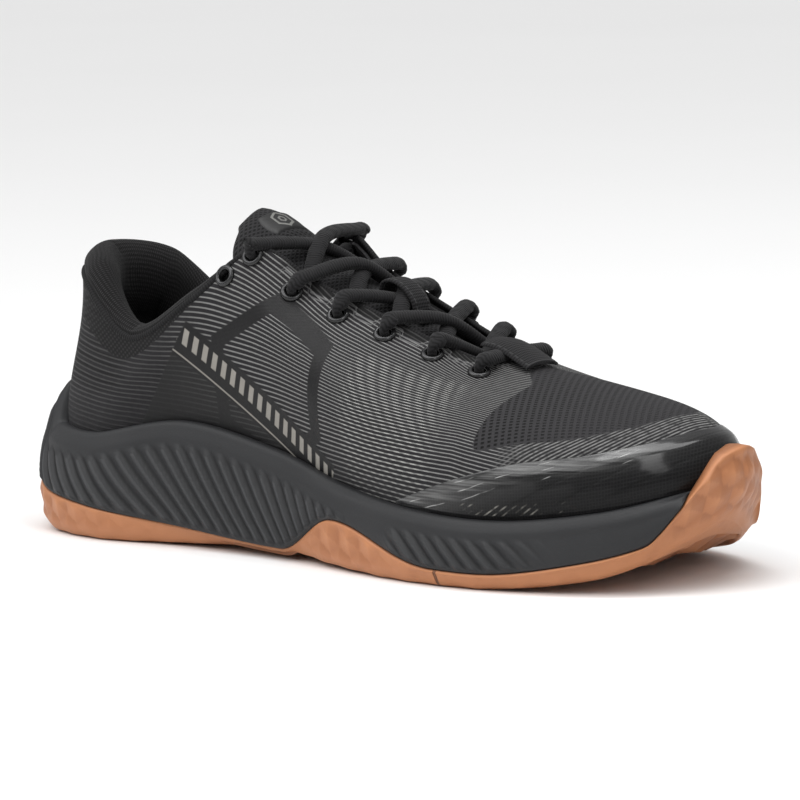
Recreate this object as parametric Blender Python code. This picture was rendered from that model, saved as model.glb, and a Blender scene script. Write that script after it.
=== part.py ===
"""Right court shoe with a gum rubber sole, as an assembly of separate pieces.

Frame: +X runs from heel to toe, +Y to the medial (inner) side, +Z up. The origin is on the ground
under the centre of the heel. Sizes below are in millimetres, and new_piece() turns them into metres.
"""

import math

import bmesh
import bpy
import numpy as np

MM = 0.001

# Driving dimensions.
GAP = 0.35  # clearance between neighbouring pieces
LEDGE_GAP = 0.9  # clearance over the gum's edge
FLEX_X = 168.0  # line of the toe joints, where the sole bends
FLEX_Z = 32.0
PLATE = 4.0  # gum under the foot
GUM_WALL = 2.0
BOARD = 1.2
INSOLE = 4.5
SHELL = 1.6  # outer layer of the upper
RING_STEPS = 4  # ring points per station
FLAT_MARGIN = 0.25  # lowers the tread, to widen the areas that are flat on the ground

# The shoe is described at 20 stations around its outline: 0 at the back of the heel, 1 to 9 along the
# medial side, 10 at the toe, and 11 to 19 back along the lateral side. Station k faces station 20 - k.
STATIONS = 20


def around_shoe(heel, medial, toe, lateral=None):
    """Values at the 20 stations. The lists run from heel to toe, and one list can serve both sides."""
    lateral = medial if lateral is None else lateral
    return np.array([heel, *medial, toe, *reversed(lateral)], float)


# Widest outline in plan, as distance forward and to the side.
OUTLINE = around_shoe(
    (-49, 0),
    [(-37, 30), (-4, 42), (36, 38), (78, 35), (118, 43), (156, 54), (192, 57), (221, 47), (243, 28.5)],
    (257.5, 4),
    [
        (-37, -30),
        (-4, -42.5),
        (36, -40),
        (78, -41),
        (118, -49),
        (156, -56),
        (192, -54),
        (227, -42),
        (250, -20.5),
    ],
)
# Height of the tread's edge above the ground: the waist is arched and the toe springs up.
GROUND = around_shoe(0, [0, 0, 1.2, 3, 1.5, 0, 0.8, 5.5, 13], 17, [0, 0, 1.2, 3, 1, 0, 0.8, 5.5, 13])
# How far the gum stands inside the widest outline: it is cut in at the medial arch.
GUM_INSET = around_shoe(0, [0, 0, 4, 11, 5, 0, 0, 0, 0], 0, [0, 0, 1.5, 2.5, 0, 0, 0, 0, 0])
GUM_TOP = around_shoe(20, [16, 12, 8, 8, 8, 6, 6, 12, 18], 24, [16, 12, 8, 4.5, 5.5, 6, 6, 12, 18])
GUM_TOP_INSET = around_shoe(0.4, [0.4] * 8 + [2.5], 3.5)
ARCH_LIFT = around_shoe(0, [0, 0, 4, 9, 5, 0, 0, 0, 0], 0, [0] * 9)
MIDSOLE_TOP = around_shoe(39, [38.5, 38, 44.5, 38, 29, 24.5, 23.5, 27.5, 32], 34)
RIM_INSET = around_shoe(8, [7, 5, 5, 5, 4, 3.5, 3.5, 3.5, 5.4], 6.5)
RIM = around_shoe(2.6, [2.6] * 7 + [2.2, 1.5], 1.2)  # thickness of the lip
EDGE_ROUNDING = around_shoe(1, [1] * 7 + [1.3, 1.9], 2.2)
BED_TOP = around_shoe(22, [22, 22, 21, 18.5, 15.5, 13.5, 13.5, 16, 21.5], 25)
BED_INSET = around_shoe(9.5, [8.5] + [8] * 8, 9)

# Edge of the quarters: topline round the ankle, then the throat down to the vamp.
MEDIAL_EDGE = [
    (-17, 25, 90),
    (12, 34, 72.5),
    (43, 35.5, 88),
    (66, 26, 106.5),
    (88, 20.5, 95.5),
    (112, 18, 86.5),
    (136, 15, 77.5),
    (154, 11.5, 71.5),
    (162, 6, 70.5),
]
EDGE = around_shoe((-34, 0, 94), MEDIAL_EDGE, (163, 0, 71), [(x, -y, z) for x, y, z in MEDIAL_EDGE])
# Lean of the upper where it leaves the sole (outward per unit of height), and its slope at the edge, in
# degrees from the vertical towards the middle of the shoe.
FLARE = around_shoe(0.0, [0.05, 0.05, 0.1, 0.2, 0.3, 0.3, 0.25, 0.2, 0.12], 0.08)
ROOF = around_shoe(-4, [0, 4, 8, 42, 50, 54, 58, 64, 68], 69)
FULLNESS_LOW = around_shoe(0.35, [0.35, 0.35, 0.35, 0.38, 0.4, 0.4, 0.38, 0.34, 0.33], 0.34)
FULLNESS_HIGH = around_shoe(0.35, [0.35, 0.35, 0.35, 0.3, 0.32, 0.34, 0.36, 0.38, 0.42], 0.44)

# Outrigger: the gum rises to a peak on the lateral side, ahead of the waist.
OUTRIGGER_START, OUTRIGGER_PEAK, OUTRIGGER_END = 85.0, 115.0, 166.0
OUTRIGGER_RISE = 12.0
OUTRIGGER_CLEARANCE = 1.1  # extra room along the outrigger's rising edge, which is near station 15.5
# Toe bumper: the gum climbs over the toe. Its half width and the width of its slope are in stations.
BUMPER_REACH, BUMPER_SLOPE, BUMPER_RISE = 1.55, 1.1, 23.5
BUMPER_CLEARANCE = 0.8  # extra room along the bumper's steep edge
# Heel clip: the midsole climbs up the back of the heel.
CLIP_REACH, CLIP_SLOPE, CLIP_RISE, CLIP_LEAN = 1.08, 0.32, 14.5, 3.5
CLIP_CLEARANCE = 0.6  # extra room inside the clip


def at(values, t):
    """Smooth closed curve through one value per station, at positions t counted in stations."""
    t = np.asarray(t, float)
    i = np.floor(t).astype(int)
    f = t - i
    if values.ndim > 1:
        f = f[..., None]
    a, b, c, d = (values[(i + k) % len(values)] for k in (-1, 0, 1, 2))
    return b + 0.5 * f * (c - a + f * (2 * a - 5 * b + 4 * c - d + f * (3 * (b - c) + d - a)))


def inward(t):
    """Unit vectors in plan that point from the outline at t towards the middle of the shoe."""
    step = at(OUTLINE, np.asarray(t) + 0.02) - at(OUTLINE, np.asarray(t) - 0.02)
    turned = np.stack([step[..., 1], -step[..., 0]], axis=-1)
    return turned / np.linalg.norm(turned, axis=-1, keepdims=True)


def level(t, inset, height):
    """Points at the given inset from the widest outline and at the given height."""
    t = np.asarray(t, float)
    plan = at(OUTLINE, t) + inward(t) * np.broadcast_to(inset, t.shape)[..., None]
    return np.concatenate([plan, np.broadcast_to(height, t.shape)[..., None]], axis=-1)


def smooth_step(x):
    """0 below 0, 1 above 1, with a smooth rise between."""
    x = np.clip(x, 0, 1)
    return x * x * (3 - 2 * x)


def near(t, station, reach, slope):
    """1 close to a station, falling smoothly to 0 at reach stations from it."""
    away = np.abs((np.asarray(t, float) - station + STATIONS / 2) % STATIONS - STATIONS / 2)
    return smooth_step((reach - away) / slope)


def clip_room(t):
    """Clearance between the midsole's lip and the upper."""
    return GAP + CLIP_CLEARANCE * near(t, 0, 1.7, 0.5)


def gum_top(t):
    """Height of the gum's upper edge, with the outrigger's peak on the lateral side."""
    x = at(OUTLINE, t)[..., 0]
    rising = np.clip((x - OUTRIGGER_START) / (OUTRIGGER_PEAK - OUTRIGGER_START), 0, 1)
    falling = np.clip((OUTRIGGER_END - x) / (OUTRIGGER_END - OUTRIGGER_PEAK), 0, 1)
    peak = smooth_step(rising) * smooth_step(falling) * (np.asarray(t) % STATIONS > STATIONS / 2)
    return at(GUM_TOP, t) + OUTRIGGER_RISE * peak + BUMPER_RISE * near(t, 10, BUMPER_REACH, BUMPER_SLOPE)


def midsole_top(t):
    """Height of the midsole's lip, with the clip at the back of the heel."""
    return at(MIDSOLE_TOP, t) + CLIP_RISE * near(t, 0, CLIP_REACH, CLIP_SLOPE)


def rim_inset(t):
    """How far the midsole's lip stands inside the widest outline."""
    return at(RIM_INSET, t) + CLIP_LEAN * near(t, 0, CLIP_REACH, CLIP_SLOPE)


def upper_ray(t):
    """The four Bezier control points of the upper's outer surface, from the midsole lip to its edge."""
    t = np.asarray(t, float)
    foot = level(t, rim_inset(t) + at(RIM, t) + clip_room(t), midsole_top(t))
    edge = at(EDGE, t)
    inside = np.concatenate([inward(t), np.zeros(t.shape + (1,))], axis=-1)
    up = np.array([0.0, 0.0, 1.0])
    leaving = up - inside * at(FLARE, t)[..., None]
    leaving /= np.linalg.norm(leaving, axis=-1, keepdims=True)
    roof = np.radians(at(ROOF, t))[..., None]
    arriving = inside * np.sin(roof) + up * np.cos(roof)
    reach = np.linalg.norm(edge - foot, axis=-1)[..., None]
    low = foot + leaving * reach * at(FULLNESS_LOW, t)[..., None]
    high = edge - arriving * reach * at(FULLNESS_HIGH, t)[..., None]
    return foot, low, high, edge


def upper(t, v):
    """The upper's outer surface: t in stations, v from 0 at the midsole lip to 1 at the edge."""
    foot, low, high, edge = upper_ray(t)
    v = np.asarray(v, float)[..., None]
    w = 1 - v
    return w**3 * foot + 3 * w**2 * v * low + 3 * w * v**2 * high + v**3 * edge


def upper_normal(t, v):
    """Outward unit normals of the upper's outer surface."""
    t, v = np.broadcast_arrays(np.asarray(t, float), np.asarray(v, float))
    along = upper(t + 0.02, v) - upper(t - 0.02, v)
    across = upper(t, np.minimum(v + 0.01, 1)) - upper(t, np.maximum(v - 0.01, 0))
    normal = np.cross(across, along)
    return normal / np.linalg.norm(normal, axis=-1, keepdims=True)


# Eyelets: seven a side, as distances forward and out from the middle. The seventh is spare.
EYELET_PLACES = [(158.5, 18.2), (140, 20.6), (121, 23), (102, 25.2), (83, 27.4), (66, 28), (56.5, 32)]
EYELET_OUTER, EYELET_HOLE, EYELET_FLANGE, EYELET_WALL = 4.0, 2.2, 0.7, 0.45
EYELET_RISE = 0.6  # clearance under the flange
EYELET_BARREL = EYELET_HOLE + EYELET_WALL
EYELET_SIDES = 14
STAY = 0.9  # reinforcement under the eyelets
UNDER_SHELL = SHELL + GAP + 0.25  # depth of what lies against the inside of the outer layer
COUNTER, PUFF = 1.4, 0.9  # thickness of the stiffeners at the heel and at the toe

# Tongue: distance forward, height of its ridge, half width and drop at its sides, from base to top.
TONGUE_ROWS = [
    (162, 61, 11, 4),
    (150, 67, 15, 8),
    (130, 77, 18, 10),
    (110, 86, 20, 12),
    (90, 95.5, 22, 14),
    (76, 102, 23, 14),
    (64, 107.5, 24, 14),
]
TONGUE_TOP_ROWS = [(61.5, 109.5, 24, 14), (56, 112.5, 24, 13), (50, 115.5, 20, 9), (47, 116.5, 14, 4)]
TONGUE_THICKNESS, TONGUE_TOP_THICKNESS = 3.0, 5.0
TONGUE_PIVOT = (62.3, 0.0, 109.0)
BADGE_FORWARD, BADGE_ACROSS, BADGE_THICKNESS = (51.5, 60.0), (-9, -6, 0, 6, 9), 0.8

LACED = 6  # eyelets in use on each side
LACE_WIDTH, LACE_THICKNESS, LACE_IN_HOLE = 4.4, 1.8, 2.4
LACE_DEPTH = 5.0  # how far under the quarters the lace runs
LACE_OVER = 3.1  # how far above the quarters it runs
LACE_REST = 1.7  # clearance between the lace and the tongue
LACE_LIFT = 3.0  # how far one half runs over the other where they cross
FIRST_ROW_HEIGHT = 72.9
TUCK_DEPTH, TUCK_STEP = 5.6, 0.1  # the ends' depth under the quarters, and their steps down the side
AGLET_RADIUS, AGLET_LENGTH = 1.5, 14.0
THROAT_LINE = np.array([1.0, 0.0, -0.42])  # direction of the throat, which the lace's width keeps to

WEBBING = 1.1  # thickness of the tab and the loop
TAB_WIDTH = 17.0
TAB_PATH = [(167, 72.0), (162.5, 73.4), (158, 74.5), (152, 77.0)]  # distance forward and height
LOOP_WIDTH = 9.0
# Distance forward and height above the tongue.
LOOP_PATH = [
    (121.5, 0.4),
    (118.4, 1.8),
    (117.2, 6.2),
    (113.5, 8.3),
    (109, 8.3),
    (105.3, 6.2),
    (104.2, 1.8),
    (101, 0.4),
]

# Window under the waist: one opening of seven hexagons, three on the lateral side and four on the medial.
CELL_RADIUS, CELL_PITCH = 9.0, 15.4
WINDOW_MIDDLE, LATERAL_ROW, MEDIAL_ROW = 85.0, -7.8, 5.5
PLATE_OUTLINE = [(51, 3, 7), (57, -8, 15), (64, -17, 15), (106, -17, 15), (113, -8, 15), (119, 3, 7)]
PLATE_LOW, PLATE_HIGH, POCKET_FLOOR = 2.5, 3.7, 2.15  # above the underside of the gum

CAP_LINE = [(171.5, 30.5), (200, 41), (228, 49.5), (243, 60)]  # upper edge of the toe cap, from the side
FAR = 400.0

# Colour, roughness and metallic of each kind of material.
GUM = (0.56, 0.27, 0.12), 0.55, 0.0
FOAM = (0.045, 0.047, 0.05), 0.7, 0.0
MESH = (0.04, 0.038, 0.042), 0.85, 0.0
OVERLAY = (0.015, 0.013, 0.014), 0.35, 0.0
BOARD_FIBRE = (0.35, 0.3, 0.24), 0.9, 0.0
STIFFENER = (0.2, 0.2, 0.2), 0.6, 0.0
CARBON = (0.02, 0.02, 0.022), 0.3, 0.0
LACE_CORD = (0.022, 0.02, 0.023), 0.8, 0.0
GLOSS_BLACK = (0.01, 0.01, 0.01), 0.2, 0.0
LABEL = (0.25, 0.25, 0.26), 0.5, 0.0


def remove_everything():
    for thing in list(bpy.data.objects):
        bpy.data.objects.remove(thing, do_unlink=True)


def material(name, look):
    """A piece's own material."""
    colour, roughness, metallic = look
    made = bpy.data.materials.new(name)
    made.use_nodes = True
    shader = made.node_tree.nodes["Principled BSDF"]
    shader.inputs["Base Color"].default_value = (*colour, 1)
    shader.inputs["Roughness"].default_value = roughness
    shader.inputs["Metallic"].default_value = metallic
    return made


def pivot(name, place):
    """An empty on a joint's axis, which carries the pieces that the joint moves."""
    empty = bpy.data.objects.new(name, None)
    empty.location = np.array(place) * MM
    bpy.context.scene.collection.objects.link(empty)
    return empty


def new_piece(name, points, faces, look=None, parent=None):
    """A mesh object from points in millimetres. Its own origin is its parent's, or the shoe's."""
    start = np.array(parent.location) if parent else np.zeros(3)
    mesh = bpy.data.meshes.new(name)
    mesh.from_pydata((np.asarray(points) * MM - start).tolist(), [], faces)
    shaped = bmesh.new()
    shaped.from_mesh(mesh)
    bmesh.ops.remove_doubles(shaped, verts=shaped.verts, dist=1e-6)
    bmesh.ops.recalc_face_normals(shaped, faces=shaped.faces)
    if shaped.calc_volume(signed=True) < 0:
        bmesh.ops.reverse_faces(shaped, faces=shaped.faces)
    shaped.to_mesh(mesh)
    shaped.free()
    mesh.shade_smooth()
    mesh.set_sharp_from_angle(angle=math.radians(40))
    piece = bpy.data.objects.new(name, mesh)
    bpy.context.scene.collection.objects.link(piece)
    piece.parent = parent
    if look:
        mesh.materials.append(material(name, look))
    return piece


def bands(rows, closed_across, closed_along):
    """Quads between the points of a grid, numbered row by row. It can close on itself either way."""
    count, width = rows
    faces = []
    for i in range(count if closed_along else count - 1):
        for j in range(width if closed_across else width - 1):
            a, b = i * width, (i + 1) % count * width
            k = (j + 1) % width
            faces.append((a + j, a + k, b + k, b + j))
    return faces


def stack(name, rings, look=None, parent=None):
    """A solid between the first and the last of several rings around the shoe, with caps across it."""
    width = len(rings[0])
    faces = bands((len(rings), width), True, False)
    for base in (0, (len(rings) - 1) * width):
        faces.append((base, base + 1, base + width - 1))
        for k in range(1, width // 2 - 1):
            faces.append((base + k, base + k + 1, base + width - k - 1, base + width - k))
        half = base + width // 2
        faces.append((half - 1, half, half + 1))
    return new_piece(name, np.concatenate(rings), faces, look, parent)


def sweep(name, sections, look=None, parent=None, closed=False):
    """A solid through a row of closed sections, with flat ends unless it closes on itself."""
    width = len(sections[0])
    faces = bands((len(sections), width), True, closed)
    if not closed:
        faces.append(tuple(range(width)))
        faces.append(tuple((len(sections) - 1) * width + k for k in range(width)))
    return new_piece(name, np.concatenate(sections), faces, look, parent)


def as_cutter(piece):
    piece.hide_render = True
    piece.display_type = "WIRE"
    return piece


def prism(name, outline, axis=1):
    """A cutter: an outline drawn in the other two axes and extended far along one."""
    outline = np.array(outline, float)
    return as_cutter(sweep(name, [np.insert(outline, axis, depth, axis=1) for depth in (-FAR, FAR)]))


def cut(piece, cutter, operation="DIFFERENCE"):
    step = piece.modifiers.new(cutter.name, "BOOLEAN")
    step.operation = operation
    step.solver = "EXACT"
    step.object = cutter


def region(name, low_x, high_x):
    """A cutter that keeps what lies between two distances forward."""
    return prism(name, [(low_x, -FAR), (high_x, -FAR), (high_x, FAR), (low_x, FAR)])


def ring_stations():
    return np.arange(STATIONS * RING_STEPS) / RING_STEPS


def stations_between(low, high):
    """Stations that the rings also have, so that neighbours share their corners."""
    return np.arange(round(low * RING_STEPS), round(high * RING_STEPS) + 1) / RING_STEPS


def ground_height(t):
    """Height of the tread's edge, flat on the ground under the heel and the ball of the foot."""
    return np.maximum(at(GROUND, t) - FLAT_MARGIN, 0)


def outsole_floor(t):
    return ground_height(t) + PLATE


def gum_lean(t):
    """Inset of the gum's upper edge."""
    return at(GUM_INSET, t) + at(GUM_TOP_INSET, t)


def outsole_rings():
    """Gum outsole: tread edge, rounded side wall, top edge, and back down the inside to its floor."""
    t = ring_stations()
    ground, gum, rounding = ground_height(t), at(GUM_INSET, t), at(EDGE_ROUNDING, t)
    top = gum_top(t)
    middle = np.minimum(ground + 5 * rounding, top - 1.4)
    return [
        level(t, gum + 9 + 2 * (rounding - 1), ground),
        level(t, gum + 3 * rounding, np.minimum(ground + 1.2 * rounding, middle - 0.6)),
        level(t, gum + 0.4 + 1.6 * (rounding - 1), middle),
        level(t, gum, np.maximum(middle + 0.5, top - 1)),
        level(t, gum_lean(t), top),
        level(t, gum_lean(t) + GUM_WALL, top),
        level(t, gum + GUM_WALL + 1.2 * rounding, np.minimum(outsole_floor(t) + 1.2 * rounding, top - 0.2)),
        level(t, gum + GUM_WALL + 5 * rounding, outsole_floor(t)),
    ]


def midsole_rings():
    """Foam midsole: it fills the gum tray, stands on its edge, and cups the upper with a thin lip."""
    t = ring_stations()
    gum, rounding, lip = at(GUM_INSET, t), at(EDGE_ROUNDING, t), midsole_top(t)
    top = gum_top(t)
    room = BUMPER_CLEARANCE * near(t, 10, 1.9, 0.6) + OUTRIGGER_CLEARANCE * near(t, 15.5, 1.6, 0.6)
    inside_gum = gum_lean(t) + GUM_WALL + GAP + room
    step = np.minimum(top + LEDGE_GAP + room, lip - 1.5)
    proud = np.clip((lip - top - 1.5) / 4, 0, 1)
    wall = inside_gum * (1 - proud) + 0.2 * proud
    low = step + at(ARCH_LIFT, t)
    rim = rim_inset(t)
    corner = np.minimum(outsole_floor(t) + 1.2 * rounding, top - 0.2)
    climb = np.maximum(outsole_floor(t) - corner, 0) * (GAP + room) / (3.8 * rounding)
    return [
        level(t, gum + GUM_WALL + 5 * rounding, outsole_floor(t) + GAP + room),
        level(t, gum + GUM_WALL + 1.2 * rounding + GAP + room, corner + GAP + climb + room),
        level(t, inside_gum, step),
        level(t, wall, low),
        level(t, wall + 0.1 * (rim - wall), low + 0.35 * (lip - low)),
        level(t, wall + 0.5 * (rim - wall), low + 0.75 * (lip - low)),
        level(t, rim, lip),
        level(t, rim + at(RIM, t), lip),
        level(t, at(BED_INSET, t), at(BED_TOP, t)),
    ]


def slab_rings(inset, rise, thickness):
    """A flat layer on the footbed."""
    t = ring_stations()
    base = at(BED_TOP, t) + rise
    return [level(t, at(BED_INSET, t) + inset, base + height) for height in (0, thickness)]


def layer(t, v, depth):
    """Points at a depth under the upper's outer surface."""
    t, v = np.broadcast_arrays(np.asarray(t, float), np.asarray(v, float))
    return upper(t, v) - upper_normal(t, v) * np.broadcast_to(depth, t.shape)[..., None]


def shell_sections():
    """Sections of the upper's outer layer, each a closed loop from its hem up and back down inside."""
    heights = np.array([0, 0.12, 0.26, 0.42, 0.58, 0.74, 0.88, 1])
    sections = []
    for t in ring_stations():
        hem = level(t, at(BED_INSET, t) + clip_room(t) + 0.3, at(BED_TOP, t) + GAP)
        inner_hem = level(t, at(BED_INSET, t) + clip_room(t) + 0.3 + SHELL, at(BED_TOP, t) + GAP)
        outer = layer(t, heights, 0)
        inner = layer(t, heights, SHELL)
        sections.append(np.concatenate([hem[None], outer, inner[::-1], inner_hem[None]]))
    return sections


def upper_piece(name, look, parent=None):
    return sweep(name, shell_sections(), look, parent, closed=True)


def patch(name, stations, heights, shallow, deep, look, parent=None):
    """A thin piece that follows the upper between two stations and two heights."""
    heights = np.array(heights)
    sections = [np.concatenate([layer(t, heights, shallow), layer(t, heights[::-1], deep)]) for t in stations]
    return sweep(name, sections, look, parent)


def place_on_upper(x, y):
    """Station and height of the point of the upper straight above a point in plan, by Newton's method."""
    guess = np.array([14.0 if y < 0 else 6.0, 0.9])
    step = 1e-3
    for _ in range(30):
        here = upper(guess[0], guess[1])[:2]
        by_station = (upper(guess[0] + step, guess[1])[:2] - here) / step
        by_height = (upper(guess[0], guess[1] + step)[:2] - here) / step
        slope = np.stack([by_station, by_height], axis=1)
        guess = guess + np.clip(np.linalg.solve(slope, np.array([x, y]) - here), -0.3, 0.3)
    return guess


class Spot:
    """A place on the upper: its centre, its outward normal and the direction of the throat's edge."""

    def __init__(self, side, place):
        forward, out = place
        self.t, self.v = place_on_upper(forward, side * out)
        self.centre = upper(self.t, self.v)
        self.normal = upper_normal(self.t, self.v)
        towards = np.array([0.0, -side, 0.0])
        towards = towards - self.normal * (towards @ self.normal)
        self.towards = towards / np.linalg.norm(towards)
        # Distance from the centre to the throat's edge.
        self.setback = abs(upper(self.t, 1.0)[1] - self.centre[1]) / abs(self.towards[1])

    def point(self, out, along=0.0):
        return self.centre + self.normal * out + self.towards * along


def circle_of(sides):
    """Cosines and sines of equal steps round a circle."""
    angles = np.arange(sides) * 2 * math.pi / sides
    return np.cos(angles), np.sin(angles)


def eyelet_profile():
    """Section of an eyelet, as radius and height: a barrel through the layers under a rounded flange."""
    top = EYELET_RISE + EYELET_FLANGE
    bottom = -SHELL - STAY - 2 * GAP - 0.1
    return [
        (EYELET_HOLE, bottom),
        (EYELET_BARREL, bottom),
        (EYELET_BARREL, EYELET_RISE),
        (EYELET_OUTER, EYELET_RISE),
        (EYELET_OUTER - 0.4, top),
        (EYELET_HOLE + 0.5, top),
    ]


def eyelet(name, spot):
    """A ring turned about the normal of the upper."""
    across = spot.towards
    other = np.cross(spot.normal, across)
    sections = []
    for c, s in zip(*circle_of(EYELET_SIDES)):
        spoke = across * c + other * s
        sections.append(np.array([spot.centre + spoke * r + spot.normal * h for r, h in eyelet_profile()]))
    return sweep(name, sections, GLOSS_BLACK, closed=True)


def rod(name, start, end, radius, sides, look=None):
    """A round bar between two points."""
    start, end = np.array(start), np.array(end)
    axis = (end - start) / np.linalg.norm(end - start)
    across = np.cross(axis, [0.0, 0.3, 1.0])
    across /= np.linalg.norm(across)
    c, s = circle_of(sides)
    ring = radius * (np.outer(c, across) + np.outer(s, np.cross(axis, across)))
    return sweep(name, [start + ring, end + ring], look)


def pad_sections(stations):
    """Sections of the collar's pad: up behind the quarters, over the crown and down inside."""
    face = SHELL + 2 * GAP + 0.2
    sections = []
    for t in stations:
        inside = np.append(inward(t), 0.0)
        back = near(t, 0, 2.6, 2.4)
        thick, rise = 5.5 + 5.0 * back, 3.0 + 4.0 * back
        crown = upper(t, 1.0) + inside * face
        outer = [upper(t, v) + inside * face for v in (0.5, 0.75, 0.97)]
        arch = ((0.2, 0.75), (0.5, 1), (0.85, 0.7))
        top = [crown + inside * thick * f + np.array([0, 0, rise * g]) for f, g in arch]
        depths = ((0.97, thick), (0.75, thick * 0.8), (0.5, 1.6))
        inner = [upper(t, v) + inside * (face + reach) for v, reach in depths]
        sections.append(np.array(outer + top + inner))
    return sections


def lining_sections(stations):
    """The lining lies over the pad: its crown and its inner side, with a small clearance."""
    space, thickness = GAP + 0.1, 0.9
    up = np.array([0.0, 0.0, 1.0])
    sections = []
    for t, pad in zip(stations, pad_sections(stations)):
        inside = np.append(inward(t), 0.0)
        places = [pad[2] + up * (space + 1.1), *pad[3:8], pad[8] - 3 * up]
        facing = [-0.5 * inside, 0.7 * (up - inside), up, 0.7 * (up + inside), inside, inside, inside]
        near_side = [p + d * space for p, d in zip(places, facing)]
        far_side = [p + d * (space + thickness) for p, d in zip(places, facing)]
        sections.append(np.array(near_side + far_side[::-1]))
    return sections


def tongue_shape(x):
    """Height of the tongue's ridge, its half width and its drop, at a distance forward."""
    rows = np.array(sorted(TONGUE_ROWS + TONGUE_TOP_ROWS), float)
    return [float(np.interp(x, rows[:, 0], rows[:, k])) for k in (1, 2, 3)]


def tongue_sections(rows, thickness):
    sections = []
    across = np.linspace(-1, 1, 9)
    for x, ridge, half, drop in rows:
        top = np.stack([np.full(9, float(x)), half * across, ridge - drop * across**2], axis=1)
        under = top[::-1] * [1, 0.97, 1] - [0, 0, thickness]
        sections.append(np.concatenate([top, under]))
    return sections


def badge_sections():
    """A thin plate on the outer face of the tongue's top."""
    sections = []
    for x in BADGE_FORWARD:
        ridge, half, drop = tongue_shape(x)
        low = np.array([(x, y, ridge - drop * (y / half) ** 2 + GAP) for y in BADGE_ACROSS])
        sections.append(np.concatenate([low, low[::-1] + [0, 0, BADGE_THICKNESS]]))
    return sections


def strap_sections(path, width):
    """A flat band across the middle of the shoe, whose underside follows a path of x and z."""
    path = np.array(path, float)
    along = np.gradient(path, axis=0)
    along /= np.linalg.norm(along, axis=1, keepdims=True)
    outer = path + np.stack([along[:, 1], -along[:, 0]], axis=1) * WEBBING
    half = width / 2
    sections = []
    for (x0, z0), (x1, z1) in zip(path, outer):
        sections.append(np.array([(x0, -half, z0), (x0, half, z0), (x1, half, z1), (x1, -half, z1)]))
    return sections


def lace_half(spots, side, lift):
    """One half of the lace, from the middle of the first row: rows of place and width.

    It dives through the first eyelet on its side, comes out under that edge and dives through the next
    eyelet on the other side, and so on. Its end is tucked in under the quarters. Lift raises it over the
    other half where they cross.
    """
    rows = []

    def add(place, width=LACE_WIDTH):
        rows.append((*place, width))

    def crossing(first, second):
        x = (first.centre[0] + second.centre[0]) / 2
        add((x, 0, tongue_shape(x)[0] + LACE_THICKNESS / 2 + LACE_REST + lift))

    def through(spot):
        add(spot.point(3.9, 2.4))
        for out in (2.7, 0.0, -3.4):
            add(spot.point(out), LACE_IN_HOLE)
        add(spot.point(-LACE_DEPTH - 0.6, 0.8))

    def over_edge(spot):
        add(spot.point(LACE_OVER, spot.setback))

    def under_edge(spot):
        add(spot.point(-LACE_DEPTH, spot.setback - 1))

    own, other = spots[side], spots[-side]
    add((own[0].centre[0], 0, FIRST_ROW_HEIGHT))
    for k in range(LACED):
        here = (own, other)[k % 2][k]
        over_edge(here)
        through(here)
        if k < LACED - 1:
            under_edge(here)
            crossing(here, (other, own)[k % 2][k + 1])
    add(layer(here.t, here.v - TUCK_STEP, TUCK_DEPTH), LACE_IN_HOLE)
    add(layer(here.t, here.v - 2 * TUCK_STEP, TUCK_DEPTH + 0.9), LACE_IN_HOLE)
    return rows


def lace_rows(spots):
    """The whole lace, from the end of one half to the end of the other."""
    return lace_half(spots, 1, 0.0)[::-1] + lace_half(spots, -1, LACE_LIFT)[1:]


def curve_through(rows, samples):
    """Catmull-Rom curve through rows of values, with a number of samples in each span."""
    rows = np.array(rows, float)
    ends = np.concatenate([[2 * rows[0] - rows[1]], rows, [2 * rows[-1] - rows[-2]]])
    curve = []
    for a, b, c, d in zip(ends, ends[1:], ends[2:], ends[3:]):
        for f in np.arange(samples) / samples:
            curve.append(b + 0.5 * f * (c - a + f * (2 * a - 5 * b + 4 * c - d + f * (3 * (b - c) + d - a))))
    return np.array(curve + [rows[-1]])


def cord_sections(rows, sides=6, samples=2):
    """Sections of a flattened cord along rows of place and width."""
    rows = curve_through(rows, samples)
    along = np.gradient(rows[:, :3], axis=0)
    along /= np.linalg.norm(along, axis=1, keepdims=True)
    wide = THROAT_LINE - along * (along @ THROAT_LINE)[:, None]
    wide /= np.linalg.norm(wide, axis=1, keepdims=True)
    c, s = circle_of(sides)
    sections = []
    for place, w, h, width in zip(rows[:, :3], wide, np.cross(along, wide), rows[:, 3]):
        sections.append(place + np.outer(c, w) * width / 2 + np.outer(s, h) * LACE_THICKNESS / 2)
    return sections


def waist_height(x):
    """Height of the gum's underside along the middle of the waist."""
    t = np.linspace(2, 7, 21)
    return float(np.interp(x, at(OUTLINE, t)[:, 0], ground_height(t)))


def plate_sections(spread, low, high):
    """A thin plate that follows the waist, with its outline widened by spread."""
    ends = {PLATE_OUTLINE[0][0]: -spread, PLATE_OUTLINE[-1][0]: spread}
    sections = []
    for x, right, left in PLATE_OUTLINE:
        under, over = waist_height(x) + low, waist_height(x) + high
        x, right, left = x + ends.get(x, 0), right - spread, left + spread
        sections.append(np.array([(x, right, under), (x, left, under), (x, left, over), (x, right, over)]))
    return sections


def window_cells():
    """Centres of the window's hexagons."""
    lateral = [(WINDOW_MIDDLE + CELL_PITCH * k, LATERAL_ROW) for k in (-1, 0, 1)]
    medial = [(WINDOW_MIDDLE + CELL_PITCH * k, MEDIAL_ROW) for k in (-1.5, -0.5, 0.5, 1.5)]
    return lateral + medial


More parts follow.
